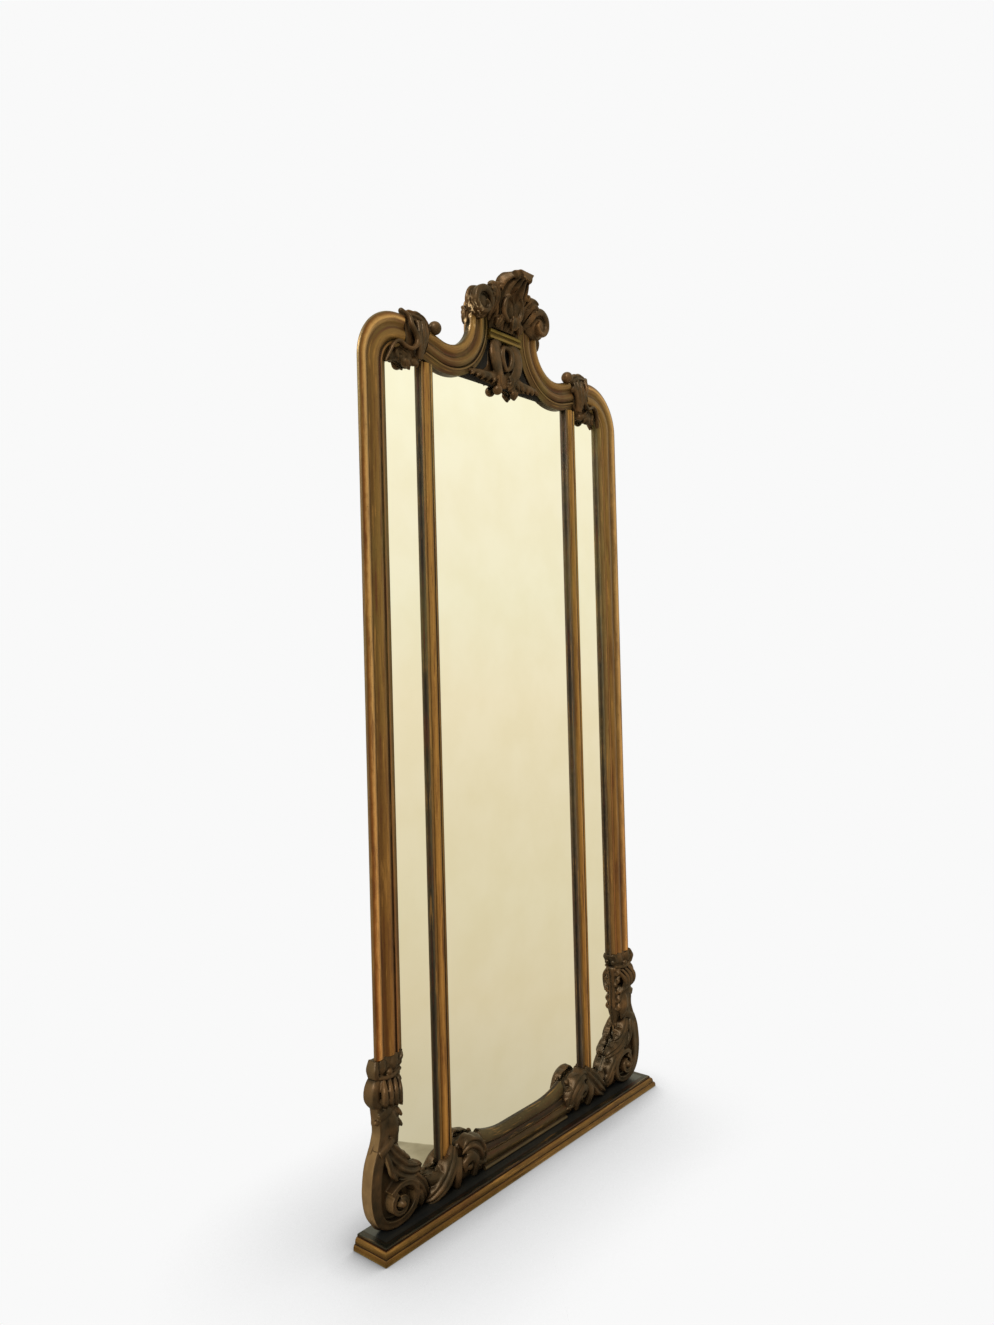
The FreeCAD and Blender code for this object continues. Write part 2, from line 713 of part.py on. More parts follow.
def carcass_stile():
    whole = bar(carcass_inner, carcass_half_width, base_height, top_rail_foot + top_rail_height)
    whole = whole.cut(corner_waste())
    pocket_half = keyhole_radius + 3
    pocket = block(hanger_x() - pocket_half, hanger_x() + pocket_half,
                   wall - keyhole_pocket_depth, wall, hanger_height - 14, hanger_height + 14)
    cuts = [hanger_plate(fixing_clearance), pocket]
    cuts += [hanger_screw(side, fixing_clearance) for side in (-1, 1)]
    cuts += dowels(dowel_radius + fixing_clearance, fixing_clearance)
    return whole.cut(cuts)


def bottom_rail():
    whole = bar(-carcass_inner, carcass_inner, base_height, bottom_rail_top)
    return whole.cut(dowels(dowel_radius + fixing_clearance, fixing_clearance) + base_screw_holes())


def top_rail():
    whole = bar(-carcass_inner, carcass_inner, top_rail_foot, top_rail_foot + top_rail_height)
    whole = whole.cut([corner_waste(), mirrored(corner_waste())])
    return whole.cut(dowels(dowel_radius + fixing_clearance, fixing_clearance))


def muntin():
    half = muntin_width / 2
    whole = bar(slip_centre - half, slip_centre + half, bottom_rail_top, top_rail_foot)
    return whole.cut(dowels(dowel_radius + fixing_clearance, fixing_clearance))


def crest_board():
    foot = top_rail_foot + top_rail_height
    half = crest_board_half_width
    whole = front_prism((-half, foot), [
        (half, foot), (half, crest_board_top - 30), ((half - 8, crest_board_top - 6),
                                                     (half - 36, crest_board_top)),
        (-half + 36, crest_board_top),
        ((-half + 8, crest_board_top - 6), (-half, crest_board_top - 30))], wall, front)
    return whole.cut(dowels(dowel_radius + fixing_clearance, fixing_clearance))


def openings():
    # The three openings of the carcass, as lowest and highest X
    half = muntin_width / 2
    return {
        "centre": (-slip_centre + half, slip_centre - half),
        "right": (slip_centre + half, carcass_inner),
        "left": (-carcass_inner, -slip_centre - half),
    }


def filling(x0, x1, near, thickness):
    # A plate or board that fills an opening, near being its distance behind the moulding plane
    play = plate_clearance
    return block(x0 + play, x1 - play, front + near, front + near + thickness,
                 bottom_rail_top + play, top_rail_foot - play)


def glazing_strips(x0, x1):
    # Square strips pinned round the opening behind the backboard
    y0 = front + glass_thickness + backboard_thickness
    y1 = y0 + strip_size
    z0, z1 = bottom_rail_top, top_rail_foot
    s = strip_size
    return [
        block(x0, x0 + s, y0, y1, z0, z1),
        block(x1 - s, x1, y0, y1, z0, z1),
        block(x0 + s, x1 - s, y0, y1, z0, z0 + s),
        block(x0 + s, x1 - s, y0, y1, z1 - s, z1),
    ]


os.makedirs("parts", exist_ok=True)

save("base_board", base_board().cut(base_screw_holes()))
save("base_edge_front", base_edge_front())
save_pair("base_edge", base_edge_side())
save("base_screws", Part.makeCompound([base_screw(x, 0) for x in base_screw_places()]))

save("carcass_bottom_rail", bottom_rail())
save("carcass_top_rail", top_rail())
save_pair("carcass_stile", carcass_stile())
save_pair("carcass_muntin", muntin())
save("crest_board", crest_board())
save("carcass_dowels", Part.makeCompound(dowels(dowel_radius, 0)))

for name, (x0, x1) in openings().items():
    save("mirror_plate_" + name, filling(x0, x1, 0, glass_thickness))
    save("backboard_" + name, filling(x0, x1, glass_thickness, backboard_thickness))
    save("glazing_strips_" + name, Part.makeCompound(glazing_strips(x0, x1)))

save_pair("hanging_plate", hanger_plate(0).cut(
    [keyhole(wall + 1, wall - 4), hanger_screw(-1, fixing_clearance), hanger_screw(1, fixing_clearance)]))
hanger_screws = [hanger_screw(side, 0) for side in (-1, 1)]
save("hanging_plate_screws",
     Part.makeCompound(hanger_screws + [mirrored(screw) for screw in hanger_screws]))

save_pair("stile_moulding", stile_moulding())
save_pair("slip_moulding", slip_moulding())
save_pair("neck_moulding", neck_moulding())
save_pair("corner_clasp", corner_clasp())
save_pair("stile_collar", stile_collar())
save_pair("leg_scroll", leg_scroll())
save_pair("corner_scroll", corner_scroll())
save_pair("bottom_cartouche", bottom_cartouche())
save("bottom_rail_moulding", bottom_rail_moulding())

save("crest_crossbar", crossbar())
save("tympanum_panel", tympanum_panel())
save("crest_plume", crest_plume())
save_pair("crest_leaf", crest_leaf())
save_pair("crest_volute", volute())
save("crest_pendant", pendant())
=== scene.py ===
import bpy
import math
import re
import numpy as np
from mathutils import Matrix, Vector


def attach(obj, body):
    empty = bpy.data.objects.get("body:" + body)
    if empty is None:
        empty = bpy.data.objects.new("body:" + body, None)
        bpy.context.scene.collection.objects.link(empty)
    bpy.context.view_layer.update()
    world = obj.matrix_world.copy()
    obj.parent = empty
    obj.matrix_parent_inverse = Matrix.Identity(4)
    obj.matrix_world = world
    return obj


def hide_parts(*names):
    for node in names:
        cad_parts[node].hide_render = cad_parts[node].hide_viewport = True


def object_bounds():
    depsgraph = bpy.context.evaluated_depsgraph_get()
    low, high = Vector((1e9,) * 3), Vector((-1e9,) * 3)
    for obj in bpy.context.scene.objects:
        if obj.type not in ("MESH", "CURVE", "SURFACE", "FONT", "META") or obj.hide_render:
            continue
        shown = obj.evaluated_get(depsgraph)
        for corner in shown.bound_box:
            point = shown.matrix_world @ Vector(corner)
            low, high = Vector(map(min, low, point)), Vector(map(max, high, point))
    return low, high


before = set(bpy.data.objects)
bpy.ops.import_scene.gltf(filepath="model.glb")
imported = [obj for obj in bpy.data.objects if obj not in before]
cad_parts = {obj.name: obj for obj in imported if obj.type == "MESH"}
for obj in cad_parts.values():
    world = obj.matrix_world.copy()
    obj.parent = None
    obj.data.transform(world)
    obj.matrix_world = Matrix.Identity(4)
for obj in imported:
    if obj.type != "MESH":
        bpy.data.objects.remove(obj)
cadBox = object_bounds()
sides = {"right": 1, "left": -1}
mouldingPlane = 0.023  # Y of the face that mouldings and carvings are glued to, in metres


# helpers for meshes, in millimetres: x to the right, z up, f forward of the moulding plane

def smoothPath(points, count):
    # Catmull-Rom cubic through the points, sampled evenly from first to last
    p = np.asarray(points, float)
    ends = np.vstack([2 * p[0] - p[1], p, 2 * p[-1] - p[-2]])
    t = np.linspace(0, len(p) - 1, count)
    i = np.minimum(t.astype(int), len(p) - 2)
    u = (t - i)[:, None]
    a, b, c, d = ends[i], ends[i + 1], ends[i + 2], ends[i + 3]
    bend, twist = 2 * a - 5 * b + 4 * c - d, 3 * b - a - 3 * c + d
    return 0.5 * (2 * b + (c - a) * u + bend * u ** 2 + twist * u ** 3)


def alongPath(values, count):
    # values given at even steps, read off in between by straight lines
    values = np.atleast_1d(np.asarray(values, float))
    return np.interp(np.linspace(0, 1, count), np.linspace(0, 1, len(values)), values)


def pathFrames(path, side=None):
    # sideways and upward unit vectors; sideways is side, or else square to the tangent and to forward
    tangent = np.gradient(path, axis=0)
    tangent /= np.linalg.norm(tangent, axis=1)[:, None]
    if side is None:
        sideways = np.cross(tangent, [0.0, 0.0, 1.0])
    else:
        sideways = np.tile(np.asarray(side, float), (len(path), 1))
    sideways /= np.linalg.norm(sideways, axis=1)[:, None]
    upward = np.cross(sideways, tangent)
    upward /= np.linalg.norm(upward, axis=1)[:, None]
    return sideways, upward


def tubeMesh(rings):
    # rings is stations x points x 3: quads between neighbouring rings, and a flat cap at each end
    stations, around = rings.shape[:2]
    i = np.arange(stations - 1)[:, None] * around
    j = np.arange(around)[None, :]
    k = (j + 1) % around
    quads = np.stack([i + j, i + k, i + around + k, i + around + j], axis=-1).reshape(-1, 4)
    caps = [list(range(around))[::-1], list(range((stations - 1) * around, stations * around))]
    return rings.reshape(-1, 3), quads.tolist() + caps


def roll(points, width, height, rim=0.0, side=None, count=44, around=20, sunk=5.0, square=0.7):
    # half-round band along a path: across is cos to the power 0.8 or less, up is sin to the power square (a
    # low power gives flat sides and a flat top), lowered in the middle by rim; sunk is its depth behind
    path = smoothPath(points, count)
    sideways, upward = pathFrames(path, side)
    half = (alongPath(width, count) / 2)[:, None, None]
    high = alongPath(height, count)[:, None, None]
    phi = np.linspace(0, 2 * math.pi, around, endpoint=False)
    across = np.sign(np.cos(phi)) * np.abs(np.cos(phi)) ** min(0.8, 1.3 * square)
    hump = np.abs(np.sin(phi)) ** square * (1 - rim * (1 - across ** 2))
    up = np.where(np.sin(phi) > 0, hump * high[:, 0], -np.abs(np.sin(phi)) * sunk)
    spread = sideways[:, None] * half * across[None, :, None]
    return tubeMesh(path[:, None] + spread + upward[:, None] * up[:, :, None])


def leaf(points, width, height, tips=2, cut=0.32, count=64, around=30, sunk=4.0):
    # acanthus blade: half-width opens and closes along the spine, its edge is a slanted saw,
    # and the top is a crown with a groove down the middle and flutes that run out to the tips
    path = smoothPath(points, count)
    sideways, upward = pathFrames(path)
    s = np.linspace(0, 1, count)
    opening = (0.45 + 0.55 * np.sin(math.pi * np.clip(s * 1.15 + 0.12, 0, 1))) * (1 - s ** 3) ** 0.7
    saw = 1 - cut * (np.mod(tips * s, 1.0)) ** 1.5
    half = alongPath(width, count) / 2 * np.clip(opening, 0.04, None) * saw
    high = alongPath(height, count)[:, None]
    phi = np.linspace(0, 2 * math.pi, around, endpoint=False)
    across = np.cos(phi)
    flute = 0.5 + 0.5 * np.cos(2 * math.pi * (tips * s[:, None] - 0.8 * np.abs(across)))
    crown = (1 - np.abs(across) ** 2.4) * (0.72 + 0.28 * flute)
    groove = 0.34 * np.exp(-(across / 0.16) ** 2)
    up = np.where(np.sin(phi) > 0, (crown - groove) * high, -np.abs(np.sin(phi)) * sunk)
    spread = sideways[:, None] * half[:, None, None] * across[None, :, None]
    return tubeMesh(path[:, None] + spread + upward[:, None] * up[:, :, None])


def palm(points, half, fingers=3, rib=5.0, bow=0.3, thick=7.0, side=None, lobes=3, cut=0.22, drop=0.16,
         dish=None, count=60, across=37):
    # broad leaf of joined round flutes: a runs from -1 to 1 across it. The front rises by rib times the
    # cosine of the flutes and falls away to both sides by bow times the half-width times a squared; the side
    # edge opens into lobes, the end is drawn back between the flutes, and a dish may be sunk in the middle
    path = smoothPath(points, count)
    sideways, upward = pathFrames(path, side)
    a = np.linspace(-1, 1, across)[None, :]
    v = np.linspace(0, 1, count)[:, None]
    flute = np.abs(np.cos(0.5 * math.pi * fingers * a))
    s = v * (1 - drop * a ** 2 - 0.07 * (1 - flute))
    steps = np.linspace(0, 1, count)

    def at(values):
        return np.stack([np.interp(s, steps, values[:, i]) for i in range(3)], axis=-1)

    lobe = np.abs(np.sin(math.pi * (lobes * s + 0.4)))
    reach = np.interp(s, steps, alongPath(half, count)) * (1 - cut * (1 - lobe) * a ** 4)
    swell = 0.35 + 0.65 * np.sin(math.pi * np.clip(s, 0, 1)) ** 0.5
    front = rib * flute * swell - bow * reach * a ** 2
    back = -bow * reach * a ** 2 - thick - 0.5 * rib * flute
    if dish:
        front = front - dish[1] * np.exp(-(a / 0.2) ** 2 - ((s - dish[0]) / 0.09) ** 2)
    spread = at(path) + at(sideways) * (reach * a)[..., None]
    rings = np.concatenate([spread + at(upward) * front[..., None],
                            (spread + at(upward) * back[..., None])[:, ::-1]], axis=1)
    return tubeMesh(rings)


def ball(x, z, f, rx, rz=None, rf=None):
    # ellipsoid: cos and sin of two angles, each times its own radius, with a small flat at both poles
    rz, rf = rz or rx, rf or rx
    theta = np.linspace(0.12, math.pi - 0.12, 13)[:, None]
    phi = np.linspace(0, 2 * math.pi, 20, endpoint=False)[None, :]
    rings = np.stack([x + rx * np.sin(theta) * np.cos(phi), z + rz * np.sin(theta) * np.sin(phi),
                      f + rf * np.cos(theta) * np.ones_like(phi)], axis=-1)
    return tubeMesh(rings)


def cushionSlab(outline, base, top, centre):
    # ground of a carving: the outline drawn in towards its centre while it rises to a low crown
    edgeLine = smoothPath(list(outline) + [outline[0]], 12 * len(outline))[:-1]
    middle = np.asarray(centre, float)
    rho = np.array([0.98, 1.0, 1.0, 0.97, 0.90, 0.75, 0.45, 0.10])
    lift = np.array([0.0, 0.02, 0.45, 0.72, 0.86, 0.95, 1.0, 1.02])
    flat = middle + (edgeLine - middle)[None] * rho[:, None, None]
    rise = np.broadcast_to((base + (top - base) * lift)[:, None, None], flat.shape[:2] + (1,))
    return tubeMesh(np.concatenate([flat, rise], axis=-1))


def spiralPath(x, z, outer, inner, start, turns, count):
    # points of a clockwise spiral on the moulding plane, whose radius falls evenly from outer to inner
    s = np.linspace(0, 1, max(3, int(count * abs(turns))))
    angle = math.radians(start) - 2 * math.pi * turns * s
    radius = outer + (inner - outer) * s
    return np.stack([x + radius * np.cos(angle), z + radius * np.sin(angle), 0 * s], axis=-1)


def flipped(part):
    # the same part on the other side of the middle
    points, faces = part
    return points * [-1, 1, 1], [face[::-1] for face in faces]


def bothSides(parts):
    return parts + [flipped(part) for part in parts]


def addObject(name, data):
    added = bpy.data.objects.new(name, data)
    bpy.context.scene.collection.objects.link(added)
    return added


def addPiece(name, mesh, material):
    # the finished mesh as a piece in place of the CAD node of its name: cornerClaspLeft, corner_clasp_left
    node = re.sub("([A-Z])", r"_\1", name).lower()
    mesh.materials.clear()
    mesh.materials.append(material)
    piece = addObject(name, mesh)
    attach(piece, "root")
    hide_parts(node)
    print(name, len(mesh.polygons), "faces")


def carvedPiece(name, carved, partsOf, sign):
    # ground, ornaments and beads in one mesh, fused into a single skin by a voxel remesh
    parts = [cushionSlab(*carved["ground"])] if "ground" in carved else []
    parts += partsOf(carved) + [ball(*bead) for bead in carved.get("beads", [])]
    points, faces, shift = [], [], 0
    for part in parts:
        p, f = part if sign > 0 else flipped(part)
        points.append(p)
        faces += [[index + shift for index in face] for face in f]
        shift += len(p)
    p = np.vstack(points)
    place = np.stack([p[:, 0] / 1000, mouldingPlane - p[:, 2] / 1000, p[:, 1] / 1000], axis=-1)
    mesh = bpy.data.meshes.new(name)
    mesh.from_pydata(np.clip(place, cadBox[0], cadBox[1]).tolist(), [], faces)
    mesh.update()
    raw = addObject(name + "Raw", mesh)
    remesh = raw.modifiers.new("fuse", "REMESH")
    remesh.mode = "VOXEL"
    remesh.voxel_size = carved["grain"] / 1000
    smooth = raw.modifiers.new("soften", "SMOOTH")  # takes off the voxels' steps and leaves the ridges
    smooth.factor = 0.5
    smooth.iterations = 3
    depsgraph = bpy.context.evaluated_depsgraph_get()
    finished = bpy.data.meshes.new_from_object(raw.evaluated_get(depsgraph))
    bpy.data.objects.remove(raw)
    finished.name = name
    finished.shade_smooth()
    addPiece(name, finished, carving)


# helpers for materials

def linear(code):
    # sRGB hex to linear red, green, blue, alpha
    channels = np.array([int(code[i:i + 2], 16) for i in (1, 3, 5)]) / 255
    value = np.where(channels <= 0.04045, channels / 12.92, ((channels + 0.055) / 1.055) ** 2.4)
    return (*value.tolist(), 1.0)


def setInputs(tree, node, inputs):
    # an input takes a socket, a node (its first output), a hex colour or a plain value
    for key, value in inputs.items():
        if isinstance(value, bpy.types.Node):
            value = value.outputs[0]
        if isinstance(value, bpy.types.NodeSocket):
            tree.links.new(value, node.inputs[key])
        else:
            node.inputs[key].default_value = linear(value) if isinstance(value, str) else value


def addNode(tree, kind, inputs=None, stops=(), **settings):
    # one node with its settings and inputs; stops are the places and hex colours of a colour ramp
    node = tree.nodes.new("ShaderNode" + kind)
    for key, value in settings.items():
        setattr(node, key, value)
    setInputs(tree, node, inputs or {})
    if stops:
        elements = node.color_ramp.elements
        while len(elements) < len(stops):
            elements.new(0.5)
        for element, (position, code) in zip(elements, stops):
            element.position = position
            element.color = linear(code)
    return node


def newMaterial(name, inputs):
    # a material with its shader's plain values, and Object coordinates to lay patterns on
    material = bpy.data.materials.new(name)
    material.use_nodes = True
    tree = material.node_tree
    shader = tree.nodes["Principled BSDF"]
    setInputs(tree, shader, inputs)
    return material, tree, shader, addNode(tree, "TexCoord").outputs["Object"]


def layered(tree, colour, layers):
    # each layer is its mask, its colour or tone, and how it is mixed over what lies below
    for mask, tint, how in layers:
        mix = addNode(tree, "Mix", {0: mask, 6: colour, 7: tint}, data_type="RGBA", blend_type=how)
        colour = mix.outputs[2]
    return colour


# finishes

gildingLook = {
    "metallic": 0.7,
    "tarnished": "#5E5228",   # dirtiest leaf, in the upper half
    "warmed": "#FFD6AA",      # bole that shines through, in the lower half
    "bareBole": "#4E2410",
    "burnished": "#B98746",
    "dirt": "#2A1A0C",
    # painted highlight: the colour of the glints, and their centre on the outer side of the left neck
    "glintColour": "#F2CE9A",
    "glintSpot": (-0.150, 0.003, 2.078),   # on the outer side of the left neck, in metres
}


def paintedGlints(tree, place):
    # painted highlight: glints of pale gold where the key light catches the outer side of the left neck, as
    # upright flakes 8 mm wide and 22 mm tall, within 45 mm of the glint spot
    away = addNode(tree, "VectorMath", {0: place, 1: gildingLook["glintSpot"]}, operation="DISTANCE")
    close = addNode(tree, "MapRange", {"Value": away.outputs["Value"], "From Min": 0.045, "From Max": 0.02})
    upright = addNode(tree, "Mapping", {"Vector": place, "Scale": (130.0, 130.0, 45.0)})
    flakes = addNode(tree, "TexNoise", {"Vector": upright, "Scale": 1.0, "Detail": 2})
    chosen = addNode(tree, "MapRange", {"Value": flakes, "From Min": 0.54, "From Max": 0.64})
    return addNode(tree, "Math", {0: close, 1: chosen}, operation="MULTIPLY")


def bandStops(colours):
    # one colour, or two or three in a row, for each member of a moulding: they fill the middle of the member
    # and turn into the next one's over its edges
    stops = []
    for i, codes in enumerate(colours):
        codes = (codes, codes) if isinstance(codes, str) else codes
        places = np.linspace(i + 0.12, i + 0.88, len(codes)) / len(colours)
        stops += list(zip(places.tolist(), codes))
    return stops


def waterGilding(name, bands, streaks=0.6, tone=(0.72, 1.22), roughness=0.36, red=0.0):
    # burnished gold leaf over red-brown bole, worn with age: brown-gold on the rounds, dark in the quirks,
    # the bole showing through in long rubbed streaks. The first UV axis counts the members of the moulding
    # from the glass outwards, the second is the length in metres
    look = gildingLook
    material, tree, shader, place = newMaterial(name, {"Metallic": look["metallic"]})
    onMoulding = addNode(tree, "TexCoord").outputs["UV"]
    # the line between two members' tones wanders by a millimetre or so
    across = addNode(tree, "SeparateXYZ", {"Vector": onMoulding})
    wander = addNode(tree, "TexNoise", {"Vector": place, "Scale": 45.0, "Detail": 3})
    drift = addNode(tree, "MapRange", {"Value": wander, "To Min": -0.012, "To Max": 0.012})
    member = addNode(tree, "Math", {0: across, 1: drift}, operation="ADD")
    gold = addNode(tree, "ValToRGB", {"Fac": member}, bandStops(bands))
    # tone drifts over 70 mm across and 290 mm upwards
    slow = addNode(tree, "Mapping", {"Vector": place, "Scale": (14, 14, 3.5)})
    cloud = addNode(tree, "TexNoise", {"Vector": slow, "Scale": 1.0, "Detail": 5, "Roughness": 0.6})
    shade = addNode(tree, "MapRange", {"Value": cloud, "From Min": 0.3, "From Max": 0.7,
                                       "To Min": tone[0], "To Max": tone[1]})
    # tarnished where it is dirtiest, in the upper half; more of the red bole in the lower half
    level = addNode(tree, "SeparateXYZ", {"Vector": place}).outputs["Z"]
    upper = addNode(tree, "MapRange", {"Value": level, "From Min": 0.5, "From Max": 1.5})
    dingy = addNode(tree, "MapRange", {"Value": cloud, "From Min": 0.42, "From Max": 0.66, "To Max": 0.60})
    olive = addNode(tree, "Math", {0: dingy, 1: upper}, operation="MULTIPLY")
    lower = addNode(tree, "MapRange", {"Value": level, "From Min": 1.3, "From Max": 0.5, "To Max": red})
    # rubbed streaks about 4 mm wide and 150 mm long, along the moulding
    lay = addNode(tree, "Mapping", {"Vector": onMoulding, "Scale": (20, 6.5, 1)})
    wear = addNode(tree, "TexNoise", {"Vector": lay, "Scale": 1.0, "Detail": 5, "Roughness": 0.7})
    rubbed = addNode(tree, "MapRange", {"Value": wear, "From Min": 0.52, "From Max": 0.66, "To Max": streaks})
    polished = addNode(tree, "MapRange", {"Value": wear, "From Min": 0.44, "From Max": 0.30, "To Max": 0.6})
    # specks of dirt and lost leaf, 2 to 4 mm
    specks = addNode(tree, "TexNoise", {"Vector": place, "Scale": 260.0, "Detail": 2, "Roughness": 0.8})
    dirt = addNode(tree, "MapRange", {"Value": specks, "From Min": 0.62, "From Max": 0.74, "To Max": 0.7})
    colour = layered(tree, gold, [
        (1.0, shade, "MULTIPLY"), (olive, look["tarnished"], "MIX"), (lower, look["warmed"], "MULTIPLY"),
        (rubbed, look["bareBole"], "MIX"), (polished, look["burnished"], "MIX"), (dirt, look["dirt"], "MIX"),
        # painted highlight: glints on the left neck
        (paintedGlints(tree, place), look["glintColour"], "MIX")])
    # unevenness of the gesso under the leaf, 2 to 3 mm
    grain = addNode(tree, "TexNoise", {"Vector": place, "Scale": 420.0, "Detail": 3})
    bump = addNode(tree, "Bump", {"Height": grain, "Strength": 0.22, "Distance": 0.001})
    rough = addNode(tree, "MapRange", {"Value": wear, "To Min": roughness - 0.08, "To Max": roughness + 0.16})
    setInputs(tree, shader, {"Base Color": colour, "Normal": bump, "Roughness": rough})
    return material


carvingLook = {
    "shader": {"Roughness": 0.42, "Metallic": 0.3, "Specular Tint": "#E0CBAA"},
    "body": [(0.30, "#1C140B"), (0.46, "#3C2A16"), (0.60, "#543A20"), (0.76, "#704E2A")],
    "rubbedEdge": "#966E3C",
    # dark toning and painted shade: the colour of concave creases
    "hollow": "#0E0A06",
    # painted shade: the colour of what lies deep in the carving
    "occlusionShade": "#0C0906",
    # painted shade: the darker colour of the carvings near the floor
    "lowShade": "#14110B",
    # lighter outer flanks of the legs: kept gilding, with painted light on the faces that turn outwards
    "flankGildingAndLight": "#8C6E46",
}


def bronzedCarving():
    # carved limewood toned dark brown-black with a trace of bronze, rubbed to warm brown on the edges
    look = carvingLook
    material, tree, shader, place = newMaterial("bronzedCarving", look["shader"])
    tone = addNode(tree, "TexNoise", {"Vector": place, "Scale": 22.0, "Detail": 5, "Roughness": 0.6})
    body = addNode(tree, "ValToRGB", {"Fac": tone}, look["body"])
    geometry = addNode(tree, "NewGeometry")
    convex = geometry.outputs["Pointiness"]
    edge = addNode(tree, "MapRange", {"Value": convex, "From Min": 0.53, "From Max": 0.66, "To Max": 0.65})
    # dark toning and painted shade: concave creases, found by pointiness, go to near black
    hollow = addNode(tree, "MapRange", {"Value": convex, "From Min": 0.40, "From Max": 0.495,
                                        "To Min": 0.95, "To Max": 0.0})
    # painted shade: everything that lies deep within 15 mm, where little of the sky reaches, is darkened to
    # near black
    sky = addNode(tree, "AmbientOcclusion", {"Distance": 0.015}, samples=6).outputs["AO"]
    deep = addNode(tree, "MapRange", {"Value": sky, "From Min": 0.85, "From Max": 0.35, "To Max": 0.92})
    # painted shade: the carvings near the floor are darker than those of the crest, as their fronts lie in
    # shade
    where = addNode(tree, "SeparateXYZ", {"Vector": place})
    level = where.outputs["Z"]
    foot = addNode(tree, "MapRange", {"Value": level, "From Min": 0.60, "From Max": 0.10, "To Max": 0.52})
    # the outer flanks of the legs are lighter, in patches: kept gilding, and painted light on the faces that
    # turn outwards; the product of position and normal along x is large only there. It fades to less than a
    # third by 0.29 m, at the knuckle and the collar
    facing = addNode(tree, "SeparateXYZ", {"Vector": geometry.outputs["Normal"]})
    outward = addNode(tree, "Math", {0: facing, 1: where}, operation="MULTIPLY")
    gilt = addNode(tree, "MapRange", {"Value": outward, "From Min": 0.36, "From Max": 0.45})
    patchy = addNode(tree, "MapRange", {"Value": tone, "From Min": 0.35, "From Max": 0.65,
                                        "To Min": 0.70, "To Max": 0.25})
    low = addNode(tree, "MapRange", {"Value": level, "From Min": 0.20, "From Max": 0.29,
                                     "To Min": 1.0, "To Max": 0.30})
    gildedLitFlank = addNode(tree, "Math", {0: gilt, 1: patchy}, operation="MULTIPLY")
    left = addNode(tree, "Math", {0: gildedLitFlank, 1: low}, operation="MULTIPLY")
    colour = layered(tree, body, [
        (edge, look["rubbedEdge"], "MIX"), (hollow, look["hollow"], "MIX"), (deep, look["occlusionShade"], "MIX"),
        (foot, look["lowShade"], "MIX"), (left, look["flankGildingAndLight"], "MIX"),
        # painted highlight: glints on the left neck and volute
        (paintedGlints(tree, place), gildingLook["glintColour"], "MIX")])
    # chisel facets 3 mm across
    facets = addNode(tree, "TexVoronoi", {"Vector": place, "Scale": 300.0})
    bump = addNode(tree, "Bump", {"Height": facets, "Strength": 0.06, "Distance": 0.001})
    setInputs(tree, shader, {"Base Color": colour, "Normal": bump})
    return material


def plainWood(name, dark, light, roughness, grainAxis):
    # sawn timber: figure 14 mm wide with finer grain in it, drawn out to 330 mm along the grain
    material, tree, shader, place = newMaterial(name, {"Roughness": roughness})
    stretch = [70.0, 70.0, 70.0]
    stretch[grainAxis] = 3.0
    lay = addNode(tree, "Mapping", {"Vector": place, "Scale": stretch})
    figure = addNode(tree, "TexNoise", {"Vector": lay, "Scale": 1.0, "Detail": 6, "Roughness": 0.55,
                                        "Distortion": 0.6})
    colour = addNode(tree, "ValToRGB", {"Fac": figure}, [(0.35, dark), (0.65, light)])
    bump = addNode(tree, "Bump", {"Height": figure, "Strength": 0.1, "Distance": 0.001})
    setInputs(tree, shader, {"Base Color": colour, "Normal": bump})
    return material


def silveredGlass():
    # old plate glass silvered at the back: a clear reflection with a faint straw cast, a little warmer and
    # hazier in clouds 125 mm across
    material, tree, shader, place = newMaterial("silveredGlass", {"Metallic": 1.0})
    haze = addNode(tree, "TexNoise", {"Vector": place, "Scale": 8.0, "Detail": 3})
    cast = addNode(tree, "ValToRGB", {"Fac": haze}, [(0.35, "#FDFCFA"), (0.65, "#FAF8F2")])
    blur = addNode(tree, "MapRange", {"Value": haze, "From Min": 0.3, "From Max": 0.7,
                                      "To Min": 0.012, "To Max": 0.03})
    setInputs(tree, shader, {"Base Color": cast, "Roughness": blur})
    return material


def zincSteel():
    # zinc-plated steel, matt and pale grey, with the crystals of the plating as a mottle of 4 mm
    material, tree, shader, place = newMaterial("zincSteel", {"Roughness": 0.4, "Metallic": 1.0})
    mottle = addNode(tree, "TexNoise", {"Vector": place, "Scale": 240.0, "Detail": 3})
    colour = addNode(tree, "ValToRGB", {"Fac": mottle}, [(0.35, "#8E9094"), (0.65, "#B4B6B8")])
    setInputs(tree, shader, {"Base Color": colour})
    return material


carving = bronzedCarving()
print("materials ready")


# carved ornaments, each drawn for the right-hand side: outlines are (x, z), lines are (x, z, f), beads are
# (x, z, f, radius), the ground is an outline with its back, its top and its centre, and grain is the size of
# the voxels that fuse the piece

